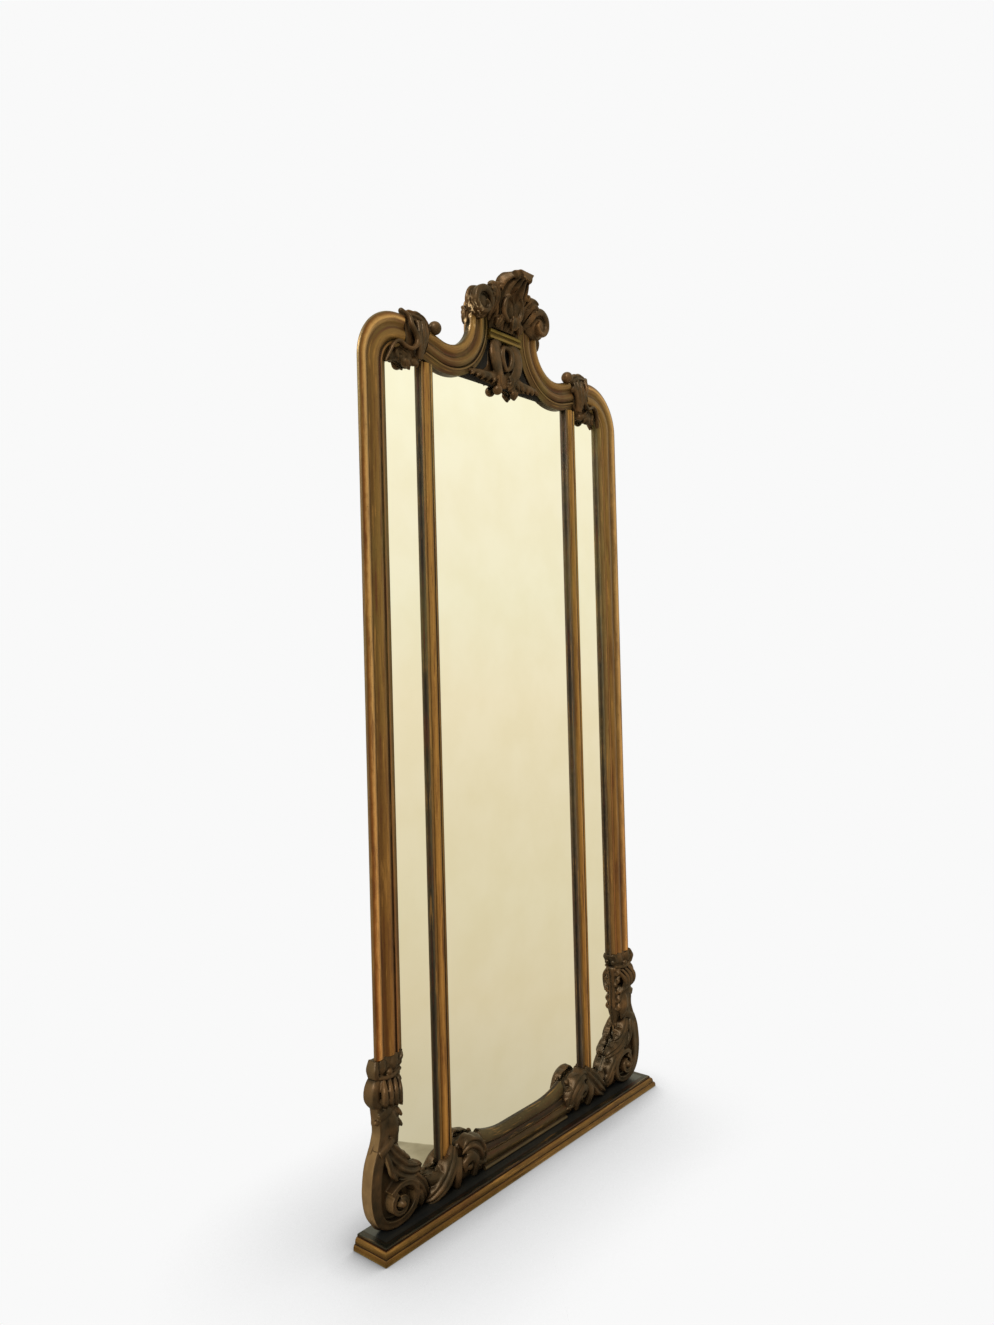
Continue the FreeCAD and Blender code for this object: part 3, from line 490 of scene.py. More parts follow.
cornerScroll = {
    "grain": 1.7,
    "ground": ([(356, 32), (350, 70), (362, 96), (384, 122), (404, 140), (424, 160), (434, 180), (436, 200),
               (508, 201), (520, 150), (526, 112), (516, 66), (490, 33), (440, 31), (400, 31)],
               -1, 13, (450, 95)),
    "band": [(494, 206, -1), (508, 170, -1), (514, 120, -1), (508, 76, -1), (486, 48, -1), (447, 40, -1),
             (412, 54, -1), (399, 84, -1), (413, 111, -1), (446, 121, -1), (474, 108, -1)],
    "bandWidth": [30, 32, 32, 26, 20, 17, 16, 15, 14, 13, 10],
    "bandHeight": [29, 30, 30, 30, 30, 32, 35, 38, 40, 41, 38],
    "eye": (449, 82),
    "blades": [([(478, 218, 16), (460, 190, 25), (440, 168, 27), (420, 154, 23), (404, 150, 12)],
                [15, 19, 20, 17, 10]),
               ([(470, 184, 18), (446, 154, 27), (414, 134, 28), (386, 126, 22), (368, 118, 10)],
                [14, 20, 21, 17, 10]),
               ([(430, 136, 16), (404, 112, 26), (382, 88, 26), (366, 62, 20), (350, 42, 6)],
                [14, 20, 21, 18, 10])],  # each line with its half-widths
    "smallBlade": [(396, 104, 16), (386, 78, 24), (378, 54, 22), (370, 36, 10)],
    "stem": [(486, 204, 20), (478, 176, 26), (470, 150, 26), (456, 132, 22)],
}


def cornerScrollParts(piece):
    # the big volute on the base: a flat-faced band comes down the flank, turns under and winds in to an eye,
    # and acanthus runs down from the leg and inwards over the foot
    x, z = piece["eye"]
    parts = [roll(piece["band"], piece["bandWidth"], piece["bandHeight"], rim=0.10, count=120, square=0.25),
             roll(spiralPath(x, z, 25, 13, 70, 0.95, 12), [13, 12, 11, 9], [42, 43, 43], rim=0.2, count=60,
                  square=0.35),
             ball(x, z, 26, 10, 11, 20)]
    parts += [palm(line, half, rib=7, lobes=4, cut=0.24, thick=15) for line, half in piece["blades"]]
    parts.append(palm(piece["smallBlade"], [10, 13, 12, 8], fingers=1, rib=6, lobes=2))
    parts.append(roll(piece["stem"], [11, 13, 12, 9], 9, count=30))
    return parts


legScroll = {
    "grain": 1.6,
    "ground": ([(430, 196), (510, 196), (498, 240), (502, 266), (494, 288), (514, 318), (506, 356),
               (428, 360), (426, 325), (428, 290), (426, 250)], -1, 12, (466, 280)),
    "flank": [(490, 296, -1), (484, 264, -1), (484, 238, -1), (494, 200, -1)],
    "knuckle": [(484, 354, -1), (500, 342, -1), (503, 320, -1), (486, 298, -1)],
    "flutes": [(488, 350, 14), (472, 348, 13), (457, 346, 12), (444, 342, 10)],  # x, top and width
    "upperBand": [(446, 290, 14), (474, 286, 24), (499, 276, 22)],
    "lowerBand": [(446, 222, 14), (474, 214, 25), (501, 200, 25)],
    "shin": [(464, 290, 14), (460, 262, 24), (456, 236, 25), (448, 204, 14)],
    "tips": [246, 268, 292, 322, 344],  # heights of the leaf tips down the glass side
    "beads": [(433, 352, 10, 8), (434, 306, 12, 7), (502, 268, 16, 6)],
}


def legScrollParts(piece):
    # clenched knuckle with flutes over a slender leg whose sides are flat and as deep as the flank below, a
    # wrapped band with thick rolled edges, and leaf tips down the glass side
    parts = [roll(piece["flank"], [24, 30, 28, 32], [24, 27, 27, 29], rim=0.12, count=50, square=0.28),
             roll(piece["knuckle"], [32, 30, 32, 30], [20, 27, 28, 24], count=40, square=0.6)]
    for x, top, wide in piece["flutes"]:
        line = [(x - 4, top, 18), (x + 3, top - 18, 32), (x + 2, top - 38, 31), (x - 8, top - 54, 20)]
        parts.append(roll(line, [wide - 3, wide, wide, wide - 5], 9, count=40))
    parts.append(roll(piece["upperBand"], [15, 19, 17], 5, count=26))
    parts.append(roll(piece["lowerBand"], [15, 19, 17], 6, count=26))
    parts.append(palm(piece["shin"], [14, 18, 18, 12], fingers=1, rib=7, cut=0.16))
    for z in piece["tips"]:
        parts.append(leaf([(448, z + 12, 12), (437, z, 18), (430, z - 11, 13)], 19, 9, count=24))
    return parts


stileCollar = {
    "grain": 1.5,
    "ground": ([(432, 358), (502, 358), (505, 376), (498, 396), (420, 396), (424, 376)], -1, 18, (462, 377)),
    "outerFace": [(500, 360, 2), (504, 378, 2), (498, 396, 2)],
    "outerFacet": [(484, 358, 12), (484, 376, 22), (482, 396, 20)],
    "innerFacet": [(452, 358, 12), (448, 376, 20), (440, 398, 16)],
    "lowerEdge": [(428, 360, 12), (464, 355, 20), (502, 360, 14)],
    "tip": [(436, 372, 14), (427, 382, 16), (420, 398, 12)],
    "beads": [(427, 372, 10, 8), (466, 366, 22, 8)],
}


def stileCollarParts(piece):
    # faceted cap that takes the foot of the stile moulding, notched in the middle, with a bead at each side
    return [roll(piece["outerFace"], [14, 17, 13], [22, 26, 20], count=30, square=0.5),
            palm(piece["outerFacet"], [11, 15, 14], fingers=1, lobes=1),
            palm(piece["innerFacet"], [12, 16, 15], fingers=1, lobes=1),
            roll(piece["lowerEdge"], [9, 12, 9], 8, count=30),
            leaf(piece["tip"], 16, 8)]


bottomCartouche = {
    "grain": 1.7,
    "ground": ([(168, 32), (170, 98), (194, 118), (222, 128), (248, 124), (262, 102), (300, 90),
               (350, 86), (352, 32), (260, 31)], -1, 15, (255, 72)),
    "rolledLeaf": [(178, 38, 18), (182, 76, 29), (204, 106, 35), (230, 118, 35), (252, 104, 26)],
    "innerRoll": [(206, 40, 20), (206, 72, 29), (224, 92, 32), (244, 82, 28), (238, 62, 22)],
    "wrappedLeaf": [(262, 124, 16), (284, 96, 29), (310, 66, 31), (340, 44, 23), (356, 36, 8)],
    "shortLeaf": [(300, 90, 12), (322, 82, 22), (342, 82, 20), (356, 94, 10)],
    "spine": [(256, 98, 20), (268, 68, 28), (262, 34, 18)],
    "tips": [(184, 106), (176, 84), (180, 58)],
    "beads": [(224, 66, 26, 9), (178, 118, 16, 7)],
}


def bottomCartoucheParts(piece):
    # rolled leaf that takes the end of the rail, with a wrapped leaf under the foot of the slip
    parts = [palm(piece["rolledLeaf"], [16, 24, 26, 23, 12], rib=8, lobes=4, thick=18),
             roll(piece["innerRoll"], [15, 20, 22, 18, 12], 12, rim=0.2, count=50),
             palm(piece["wrappedLeaf"], [14, 24, 27, 21, 10], rib=8, lobes=4, thick=16),
             palm(piece["shortLeaf"], [11, 15, 15, 9], fingers=1, rib=6, lobes=2),
             roll(piece["spine"], [18, 22, 18], 11, count=36)]
    for x, z in piece["tips"]:
        parts.append(leaf([(x + 16, z - 2, 20), (x, z, 26), (x - 20, z - 4, 22)], 20, 9, count=30))
    return parts


cornerClasp = {
    "grain": 1.6,
    "ground": ([(308, 1930), (322, 1914), (344, 1910), (380, 1912), (402, 1908), (396, 1932), (372, 1944),
               (352, 1962), (352, 1996), (358, 2018), (338, 2022), (300, 2018), (280, 2008), (284, 1980),
               (296, 1950)], -1, 14, (322, 1970)),
    "rim": [(361, 2028, 8), (347, 2015, 18), (344, 1995, 24), (332, 1977, 26), (329, 1959, 26),
            (343, 1943, 24), (361, 1944, 21), (379, 1952, 19), (395, 1944, 18), (407, 1922, 14),
            (416, 1902, 8)],
    "rimWidth": [8, 11, 11, 11, 11, 10, 9, 9, 8, 7, 6],
    "crown": [(364, 2020, 10), (340, 2021, 18), (315, 2019, 21), (294, 2010, 20), (276, 2000, 14)],
    "flutes": [(320, 318, 25), (306, 315, 24), (293, 311, 21)],  # x at the top, x at the foot, height
    "underLeaf": [(366, 1938, 14), (350, 1924, 18), (334, 1914, 10)],
    "fringe": [(382, 1921), (366, 1913), (346, 1912), (322, 1918)],
    "beads": [(262, 2011, 19, 16), (356, 1912, 14, 12), (331, 1918, 13, 10), (361, 2027, 10, 7),
              (292, 1986, 13, 11)],
}


def cornerClaspParts(piece):
    # leaf knot over the butt joint: a rim that runs round the cut end of the stile, a dark hollow,
    # flutes down to the glass, a bead on the neck and a leafy fringe against the plate
    parts = [roll(piece["rim"], piece["rimWidth"], 9, count=90),
             palm(piece["crown"], [8, 14, 17, 16, 9], lobes=5, cut=0.3)]
    for top, foot, high in piece["flutes"]:
        line = [(top, 2010, high - 6), (top + 2, 1984, high), ((foot + top) / 2 + 3, 1956, high - 1),
                (foot, 1928, 15)]
        parts.append(roll(line, [11, 13, 12, 9], 9, count=40))
    parts.append(palm(piece["underLeaf"], [10, 13, 8], rib=4))
    for x, z in piece["fringe"]:
        parts.append(leaf([(x + 4, z + 12, 11), (x, z, 14), (x - 5, z - 9, 9)], 18, 8, count=26))
    return parts


crestVolute = {
    "grain": 1.4,
    "balls": [(114, 2110, 26, 30, 32, 22), (108, 2100, 18, 34, 24, 18)],
    "rim": [(62, 2090, 10), (74, 2110, 32), (88, 2133, 44), (112, 2141, 46), (134, 2130, 44),
            (139, 2107, 42), (126, 2089, 42), (106, 2088, 44), (97, 2102, 45), (105, 2115, 43)],
    "rimWidth": [15, 19, 20, 19, 18, 16, 14, 12, 9, 6],
    "backRoll": [(122, 2082, 8), (139, 2094, 18), (146, 2114, 22), (136, 2137, 24), (112, 2146, 28)],
    "outerLeaf": [(136, 2100, 8), (140, 2078, 12), (142, 2054, 8)],
}


def crestVoluteParts(piece):
    # the end of the swan neck rolled forward into a ball, with a rim that winds in to its eye, and a leaf
    # down the outer side of the neck
    return [ball(*form) for form in piece["balls"]] + [
        roll(piece["rim"], piece["rimWidth"], 9, count=110, sunk=16),
        roll(piece["backRoll"], [13, 18, 19, 17, 11], 6, count=60),
        palm(piece["outerLeaf"], [10, 12, 5], rib=3, count=40)]


crestLeaf = {
    "grain": 1.4,
    "ground": ([(58, 2097), (100, 2097), (100, 2128), (92, 2142), (80, 2146), (66, 2138), (60, 2120)],
               -1, 14, (78, 2124)),
    "curledLeaf": [(64, 2096, 12), (62, 2116, 30), (66, 2134, 44), (79, 2147, 52), (94, 2142, 54)],
    "rib": [(90, 2096, 12), (84, 2116, 34), (80, 2132, 44)],
}


def crestLeafParts(piece):
    # rounded leaf that fills the space between the plume and the rolled scroll
    return [palm(piece["curledLeaf"], [14, 21, 25, 25, 18], rib=7),
            palm(piece["rib"], [9, 13, 9], rib=4, lobes=2)]


crestPlume = {
    "grain": 1.6,
    "ground": ([(-54, 2066), (54, 2066), (58, 2095), (64, 2125), (58, 2150), (34, 2172), (0, 2178),
               (-34, 2172), (-58, 2150), (-64, 2125), (-58, 2095)], -1, 14, (0, 2120)),
    "fan": [(0, 2068, 18), (0, 2106, 30), (0, 2144, 40), (0, 2170, 52), (0, 2188, 66), (0, 2196, 80),
            (0, 2190, 86), (0, 2182, 84)],
    "fanHalf": [52, 60, 66, 60, 42, 32, 24, 14],
    "hollow": (0.34, 22),  # its place up the fan, and its depth
    "hollowRim": [(22, 2150, 50), (33, 2132, 45), (33, 2108, 40), (19, 2091, 38), (0, 2086, 38)],
    "sideLeaf": [(50, 2122, 24), (58, 2142, 36), (58, 2158, 50), (50, 2162, 58)],
    "hook": [(-4, 2201, 82), (16, 2199, 82), (31, 2191, 78)],
    "beard": [(0, 2098, 42), (0, 2084, 44), (0, 2068, 34)],
    "sideBeard": [(30, 2096, 36), (40, 2082, 36), (46, 2068, 24)],
}


def crestPlumeParts(piece):
    # acanthus that stands behind the crossbar: joined flutes that fan a little and hook forward in a thick
    # rolled tip, with an oval hollow and a beard below it
    across = (1.0, 0.0, 0.0)
    fan = palm(piece["fan"], piece["fanHalf"], fingers=5, rib=14, bow=0.22, side=across, lobes=4, cut=0.16,
               dish=piece["hollow"], thick=9, count=90, drop=0.10)
    half = [roll(piece["hollowRim"], [6, 10, 12, 11, 10], 8, count=60),
            palm(piece["sideLeaf"], [11, 15, 14, 9], rib=4, count=40),
            roll(piece["hook"], [22, 24, 16], 10, side=(0.0, 0.4, 0.9), count=30, sunk=12)]
    beard = palm(piece["beard"], [10, 15, 9], rib=4, side=across, lobes=2, count=36)
    sideBeard = palm(piece["sideBeard"], [9, 13, 8], rib=4, lobes=2, count=36)
    return [fan] + bothSides(half) + [beard] + bothSides([sideBeard])


crestPendant = {
    "grain": 1.5,
    "oval": [(0, 2031, 12), (15, 2023, 18), (19, 2003, 20), (12, 1981, 19), (0, 1971, 16)],
    "sideRoll": [(16, 2044, 6), (38, 2030, 13), (44, 2002, 17), (36, 1972, 17), (18, 1950, 12)],
    "drop": [(12, 1972, 12), (24, 1954, 20), (22, 1936, 18), (12, 1924, 10)],
    "wing": [(36, 1954, 8), (68, 1947, 12), (104, 1946, 11), (138, 1946, 5)],
    "feathers": [46, 66, 86, 106, 126],  # x of the leaf tips along the wing
    "wingGround": [(20, 2040), (56, 2014), (62, 1976), (92, 1954), (138, 1946), (96, 1934), (50, 1928),
                   (22, 1930), (12, 1952), (26, 1980), (24, 2020)],
    "dropGround": [(-24, 1966), (24, 1966), (26, 1940), (0, 1928), (-26, 1940)],
    "leftDrop": (-31, 1918, 12, 13),
    "rightDrop": [(28, 1938, 10), (34, 1920, 18), (32, 1902, 8)],
}


def crestPendantParts(piece):
    # oval cartouche with leafy wings below the crossbar, and two drops on the glass
    half = [roll(piece["oval"], [11, 13, 13, 13, 11], 8, rim=0.1, count=50),
            roll(piece["sideRoll"], [24, 34, 38, 34, 20], 11, rim=0.16, count=50, square=0.9),
            palm(piece["drop"], [9, 14, 13, 7], rib=4, count=40),
            roll(piece["wing"], [20, 20, 16, 8], 9, count=50)]
    for i, x in enumerate(piece["feathers"]):
        half.append(leaf([(x - 6, 1952, 7), (x, 1941, 14), (x + 7, 1929 + 1.6 * i, 8)], 20 - i, 9, count=30))
    half.append(cushionSlab(piece["wingGround"], 0, 8, (44, 1968)))
    return bothSides(half) + [
        cushionSlab(piece["dropGround"], 0, 12, (0, 1950)), ball(*piece["leftDrop"]),
        palm(piece["rightDrop"], [10, 14, 7], rib=4, lobes=2, count=36)]


pairs = {
    "cornerScroll": (cornerScroll, cornerScrollParts),
    "legScroll": (legScroll, legScrollParts),
    "stileCollar": (stileCollar, stileCollarParts),
    "bottomCartouche": (bottomCartouche, bottomCartoucheParts),
    "cornerClasp": (cornerClasp, cornerClaspParts),
    "crestVolute": (crestVolute, crestVoluteParts),
    "crestLeaf": (crestLeaf, crestLeafParts),
}
for pieceName, (piece, partsOf) in pairs.items():
    for sideName, sign in sides.items():
        carvedPiece(pieceName + sideName.capitalize(), piece, partsOf, sign)
carvedPiece("crestPlume", crestPlume, crestPlumeParts, 1)
carvedPiece("crestPendant", crestPendant, crestPendantParts, 1)
print("carvings ready")


# gilt mouldings: each section is a row of members, u from the glass outwards and v forward. It is given in
# fractions of the moulding's width and depth, or in millimetres where the dictionary has neither

def section(piece):
    # members are points (a straight fillet) or pairs (a parabola through the first point to the second), and
    # start at 0, 0; returns the points and, for the UV map, each one's member as a fraction of them all
    size = np.array([piece.get("width", 1), piece.get("deep", 1)], float)
    line, marks, here = [], [], np.zeros(2)
    t = np.linspace(0, 1, 8, endpoint=False)[:, None]
    for i, member in enumerate(piece["section"]):
        *via, end = np.reshape(member, (-1, 2)) * size
        if via:
            line.append(here * (1 - t) * (1 - 2 * t) + via[0] * 4 * t * (1 - t) + end * t * (2 * t - 1))
        else:
            line.append(here + (end - here) * t)
        marks.append((i + t[:, 0]) / len(piece["section"]))
        here = end
    return np.vstack(line), np.concatenate(marks)


def onPlane(sign, x, z, nx, nz, line):
    # a section set up on the moulding plane at x, z: u runs along nx, nz and v comes forward
    u, v = line[:, 0], line[:, 1]
    return np.stack([sign * (x + nx * u), mouldingPlane * 1000 - v, z + nz * u], axis=-1)


def sweptPiece(name, piece, stations, place, material, sign=1):
    # place(section points, station, sign) gives x, y, z in millimetres for the whole ring at once
    line, marks = section(piece)
    rings = np.stack([place(line, station, sign) for station in stations]) / 1000
    count, around = rings.shape[:2]
    points, faces = tubeMesh(rings)
    # a negative volume says that the faces point inwards
    corner = points[np.array([face[:3] for face in faces])]
    if np.einsum("ij,ij->i", corner[:, 0], np.cross(corner[:, 1], corner[:, 2])).sum() < 0:
        faces = [face[::-1] for face in faces]
    mesh = bpy.data.meshes.new(name)
    mesh.from_pydata(points.tolist(), [], faces)
    mesh.update()
    # UV: the member across, the length along in metres; a ring's last face closes at 1, not at 0
    loopVertex = np.empty(len(mesh.loops), dtype=int)
    mesh.loops.foreach_get("vertex_index", loopVertex)
    steps = np.linalg.norm(np.diff(rings.mean(axis=1), axis=0), axis=1)
    lengths = np.concatenate([[0], np.cumsum(steps)])
    across = marks[loopVertex % around]
    quads = (count - 1) * around * 4
    wrapped = across[:quads].reshape(-1, 4)
    wrapped[(wrapped.max(axis=1) - wrapped.min(axis=1) > 0.5)[:, None] & (wrapped < 0.5)] = 1.0
    layer = mesh.uv_layers.new(name="UVMap")
    layer.data.foreach_set("uv", np.stack([across, lengths[loopVertex // around]], axis=-1).ravel())
    mesh.shade_smooth()
    mesh.set_sharp_from_angle(angle=math.radians(38))  # fillets and quirks stay crisp
    addPiece(name, mesh, material)


# hollow bevel, fillet, quirk, broad ovolo, cove and outer round, as the plates' frame has them
frameMembers = [
    (0, 0.50), ((0.09, 0.54), (0.17, 0.76)), (0.17, 0.84), (0.225, 0.88), ((0.245, 0.70), (0.265, 0.76)),
    ((0.36, 0.97), (0.45, 0.98)), ((0.51, 0.95), (0.56, 0.86)), ((0.64, 0.72), (0.72, 0.86)),
    ((0.83, 0.995), (0.94, 0.88)), ((0.975, 0.80), (1, 0.62)),
]

# side moulding: foot to corner along its glass edge, a quarter turn, then straight on under the clasp; its
# outer side slopes in by 24 mm towards the back
stile = {
    "inner": 416, "foot": 395, "cornerX": 375, "cornerZ": 1893, "radius": 41, "tuck": 16,
    "width": 84, "deep": 20, "section": frameMembers + [((66.72 / 84, 0.40), (60 / 84, 0)), (0, 0)],
    "look": {
        "name": "waterGildingStile", "streaks": 0.7, "tone": (0.66, 1.30), "red": 0.5,
        # painted highlight: the outer round, the ninth member, is pale gold in its middle, where the light
        # catches it
        "bands": [("#1C140C", "#5E5644"), ("#5E4A28", "#7E6238"), "#74562E", ("#94683A", "#805A2E"),
                  "#32200E", ("#7A5828", "#866230"), ("#7E5C2C", "#6E4E20"), ("#5A3C16", "#745428"),
                  ("#A07C4C", "#D4A464", "#7A4A18"), ("#5E3A10", "#766446"), ("#5E4A28", "#7C6840"),
                  "#2E2516"],
    },
}
quarter = math.pi / 2
stileStations = [("up", z) for z in np.linspace(stile["foot"], stile["cornerZ"], 40)]
stileStations += [("turn", a) for a in np.linspace(0.0, quarter, 28)[1:]] + [("turn", quarter + 1)]


def stilePlace(line, station, sign):
    kind, amount = station
    if kind == "up":
        return onPlane(sign, stile["inner"], amount, 1.0, 0.0, line)
    nx, nz = math.cos(min(amount, quarter)), math.sin(min(amount, quarter))
    x = stile["cornerX"] + stile["radius"] * nx - stile["tuck"] * max(0.0, amount - quarter)
    return onPlane(sign, x, stile["cornerZ"] + stile["radius"] * nz, nx, nz, line)


# swan neck: up beside the plume, round through past degrees beyond the half turn, then straight on under
# the clasp
neck = {
    "x": 213, "z": 2071, "outer": 154, "top": 2095, "past": 106, "tuck": 42,
    "width": 72, "deep": 20, "section": frameMembers + [(1, 0), (0, 0)],
    "look": {
        "name": "waterGildingNeck", "streaks": 0.7,
        "bands": ["#1C160C", ("#4A3618", "#6A5030"), "#4E3818", ("#80623A", "#6E5230"), "#160E06",
                  ("#523A1C", "#74562E"), ("#785224", "#583A16"), ("#442A10", "#644420"),
                  ("#8A6434", "#96703C"), ("#70522A", "#4E3C20"), "#3A3020", "#2E2516"],
    },
}
neckEnd = math.radians(180 + neck["past"])
neckStations = [("up", neck["top"]), ("up", neck["z"] + 8)]
neckStations += [("turn", a) for a in np.radians(np.linspace(180, 180 + neck["past"], 48))]
neckStations.append(("turn", neckEnd + 1))


def neckPlace(line, station, sign):
    kind, amount = station
    if kind == "up":
        return onPlane(sign, neck["x"] - neck["outer"], amount, 1.0, 0.0, line)
    nx, nz = -math.cos(min(amount, neckEnd)), -math.sin(min(amount, neckEnd))
    beyond = neck["tuck"] * max(0.0, amount - neckEnd)
    x = neck["x"] - neck["outer"] * nx + beyond * nz
    z = neck["z"] - neck["outer"] * nz - beyond * nx
    return onPlane(sign, x, z, nx, nz, line)


# slip: the upright between two plates, a round between two beads
slip = {
    "left": 264, "foot": 95, "top": 1927, "width": 39, "deep": 14,
    "section": [(0, 0.72), ((0.08, 0.92), (0.155, 0.76)), (0.205, 0.60), ((0.33, 0.95), (0.5, 1)),
                ((0.67, 0.95), (0.795, 0.60)), (0.845, 0.76), ((0.92, 0.92), (1, 0.72)), (1, 0), (0, 0)],
    "look": {
        "name": "waterGildingSlip", "streaks": 0.8, "tone": (0.66, 1.30), "red": 0.2,
        # painted highlight: the round is lightest at its crest, where the fourth and fifth members meet
        "bands": [("#15100A", "#5A5044"), ("#4E3C22", "#7A6038"), "#2A1A0C", ("#785624", "#9A6E30"),
                  ("#B08040", "#765222"), "#2A1A0C", ("#96743E", "#6E5028"), ("#4A4434", "#15100A"),
                  "#1C160E"],
    },
}


def slipPlace(line, height, sign):
    return onPlane(sign, slip["left"], height, 1.0, 0.0, line)


uprights = [
    ("stileMoulding", stile, stileStations, stilePlace, waterGilding(**stile["look"])),
    ("neckMoulding", neck, neckStations, neckPlace, waterGilding(**neck["look"])),
    ("slipMoulding", slip, np.linspace(slip["foot"], slip["top"], 50), slipPlace,
     waterGilding(**slip["look"])),
]
for sideName, sign in sides.items():
    for name, *upright in uprights:
        sweptPiece(name + sideName.capitalize(), *upright, sign)

# edge of the base shelf, in three lengths mitred at the front corners: three rounds, each stepped back behind
# the one below
shelf = {
    "half": 535, "back": 50, "edge": 28,
    "section": [(28, 0), ((27.8, 2.7), (28, 3.9)), ((27.04, 9), (25, 12)), (22.96, 12.6),
                ((22, 20.1), (18.04, 24.9)), (16, 24.9), ((16, 29.1), (13, 30)), (0, 30), (0, 0)],
    "look": {
        "name": "waterGildingBase", "streaks": 0.75,
        "bands": ["#2E2212", ("#7E6430", "#664A1C"), ("#6E4E1C", "#583C12"), "#2A1A0A",
                  ("#5E441C", "#6A4A1C"), "#4E2C16", ("#221C12", "#1D1E17"), "#1D1E17", "#1D1E17"],
    },
}


def shelfEdge(line):
    # x on the right-hand side, y at the front and z of a section set along the shelf's edge
    u, v = line[:, 0], line[:, 1]
    return shelf["half"] - shelf["edge"] + u, -(shelf["back"] - shelf["edge"] + u), v


def frontEdgePlace(line, s, sign):
    side, front, up = shelfEdge(line)
    return np.stack([s * side, front, up], axis=-1)


def sideEdgePlace(line, s, sign):
    side, front, up = shelfEdge(line)
    return np.stack([sign * side, front + s * (shelf["back"] - front), up], axis=-1)


edgeGilding = waterGilding(**shelf["look"])
sweptPiece("baseEdgeFront", shelf, np.linspace(-1, 1, 60), frontEdgePlace, edgeGilding)
for sideName, sign in sides.items():
    sweptPiece("baseEdge" + sideName.capitalize(), shelf, np.linspace(0, 1, 8), sideEdgePlace, edgeGilding,
               sign)

# reeded bottom rail
rail = {
    "foot": 30, "half": 165, "sweep": 20, "sweepFrom": 70, "width": 73, "deep": 27,
    "section": [(0, 0.89), ((0.055, 1), (0.11, 0.86)), (0.14, 0.74), ((0.32, 0.96), (0.46, 0.70)),
                (0.52, 0.80), ((0.61, 0.44), (0.70, 0.56)), ((0.88, 0.50), (1, 0.15)), (1, 0), (0, 0)],
    "look": {
        "name": "bronzedGildingRail", "streaks": 0.5, "tone": (0.58, 1.02), "roughness": 0.42,
        "bands": ["#2A2415", ("#4A3A20", "#52442C"), "#2C2010", ("#50401F", "#3E2C16"), "#5A462A",
                  ("#2A1E10", "#33261A"), ("#46381E", "#4E4024"), "#2A2012", "#1E180E"],
    },
}


def railPlace(line, x, sign):
    # towards its ends the upper edge sweeps up to meet the rolled leaves
    high = rail["width"]
    reach = np.clip((abs(x) - rail["sweepFrom"]) / (rail["half"] - rail["sweepFrom"]), 0, 1)
    lift = 1 + rail["sweep"] / high * reach ** 2 * np.clip(line[:, 0] / high, 0, 1)
    return onPlane(sign, x, rail["foot"], 0.0, lift, line)


sweptPiece("bottomRailMoulding", rail, np.linspace(-rail["half"], rail["half"], 60), railPlace,
           waterGilding(**rail["look"]))

# crossbar of the crest, cut to the curve of both necks
bar = {
    "foot": 2040, "width": 25, "deep": 20,
    "section": [((0.02, 0.9), (0.10, 1)), (0.34, 0.98), ((0.50, 0.74), (0.66, 0.98)), (0.90, 1),
                ((0.98, 0.9), (1, 0)), (0, 0)],
    "look": {
        "name": "waterGildingBar", "streaks": 0.3,
        "bands": ["#6A5522", ("#8A6E34", "#866A2E"), "#5E4A1C", ("#86702C", "#746024"), "#4A3A14", "#2E2516"],
    },
}


def barPlace(line, s, sign):
    z = bar["foot"] + line[:, 0]
    reach = neck["x"] - np.sqrt(neck["outer"] ** 2 - (neck["z"] - z) ** 2)
    return onPlane(s, reach, bar["foot"], 0.0, 1.0, line)


sweptPiece("crestCrossbar", bar, np.linspace(-1, 1, 16), barPlace, waterGilding(**bar["look"]))
print("mouldings ready")

# finishes on the CAD pieces, by the start of their names
rawPine = plainWood("rawPine", "#7A5A38", "#A5814F", 0.8, 2)
zinc = zincSteel()
finishes = {
    # painted shade: the tympanum panel behind the crest is near black for the shadow it lies in
    "tympanum_panel": plainWood("paintedShadowPine", "#0C0806", "#1A120A", 0.95, 2),
    "base_board": plainWood("ebonisedWood", "#101213", "#1E1D18", 0.35, 0),
    "mirror_plate": silveredGlass(),
    "carcass_dowels": plainWood("beechDowel", "#B08A5C", "#C7A26E", 0.7, 0),
    "carcass": rawPine, "crest_board": rawPine, "glazing_strips": rawPine,
    "base_screws": zinc, "hanging_plate": zinc,
    "backboard": plainWood("backingBoard", "#6B5236", "#8C7048", 0.85, 2),
}
for nodeName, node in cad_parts.items():
    finish = next((finishes[key] for key in finishes if nodeName.startswith(key)), None)
    if finish is not None:
        node.data.materials.clear()
        node.data.materials.append(finish)
print("finishes ready")

# the photograph's camera: focal length and height of the frame in pixels, turns in radians, place in metres
view = {
    "focal": 955.756, "frameHeight": 1325, "sensor": 36, "yaw": 0.875211131, "pitch": -0.00903812,
    "roll": -0.02579794, "place": (-1.8758, -1.5050, 1.2136),
}
camera = bpy.data.cameras.new("camera")
camera.sensor_width = view["sensor"]
camera.lens = view["focal"] / view["frameHeight"] * view["sensor"]
cameraObject = addObject("camera", camera)
yaw, pitch = view["yaw"], view["pitch"]
forward = Vector((math.sin(yaw) * math.cos(pitch), math.cos(yaw) * math.cos(pitch), -math.sin(pitch)))
rightward = Vector((math.cos(yaw), -math.sin(yaw), 0))
upward = rightward.cross(forward)
turnedRight = rightward * math.cos(view["roll"]) + upward * math.sin(view["roll"])
turnedUp = upward * math.cos(view["roll"]) - rightward * math.sin(view["roll"])
turn = Matrix((turnedRight, turnedUp, -forward)).transposed()
cameraObject.matrix_world = Matrix.Translation(view["place"]) @ turn.to_4x4()
bpy.context.scene.camera = cameraObject

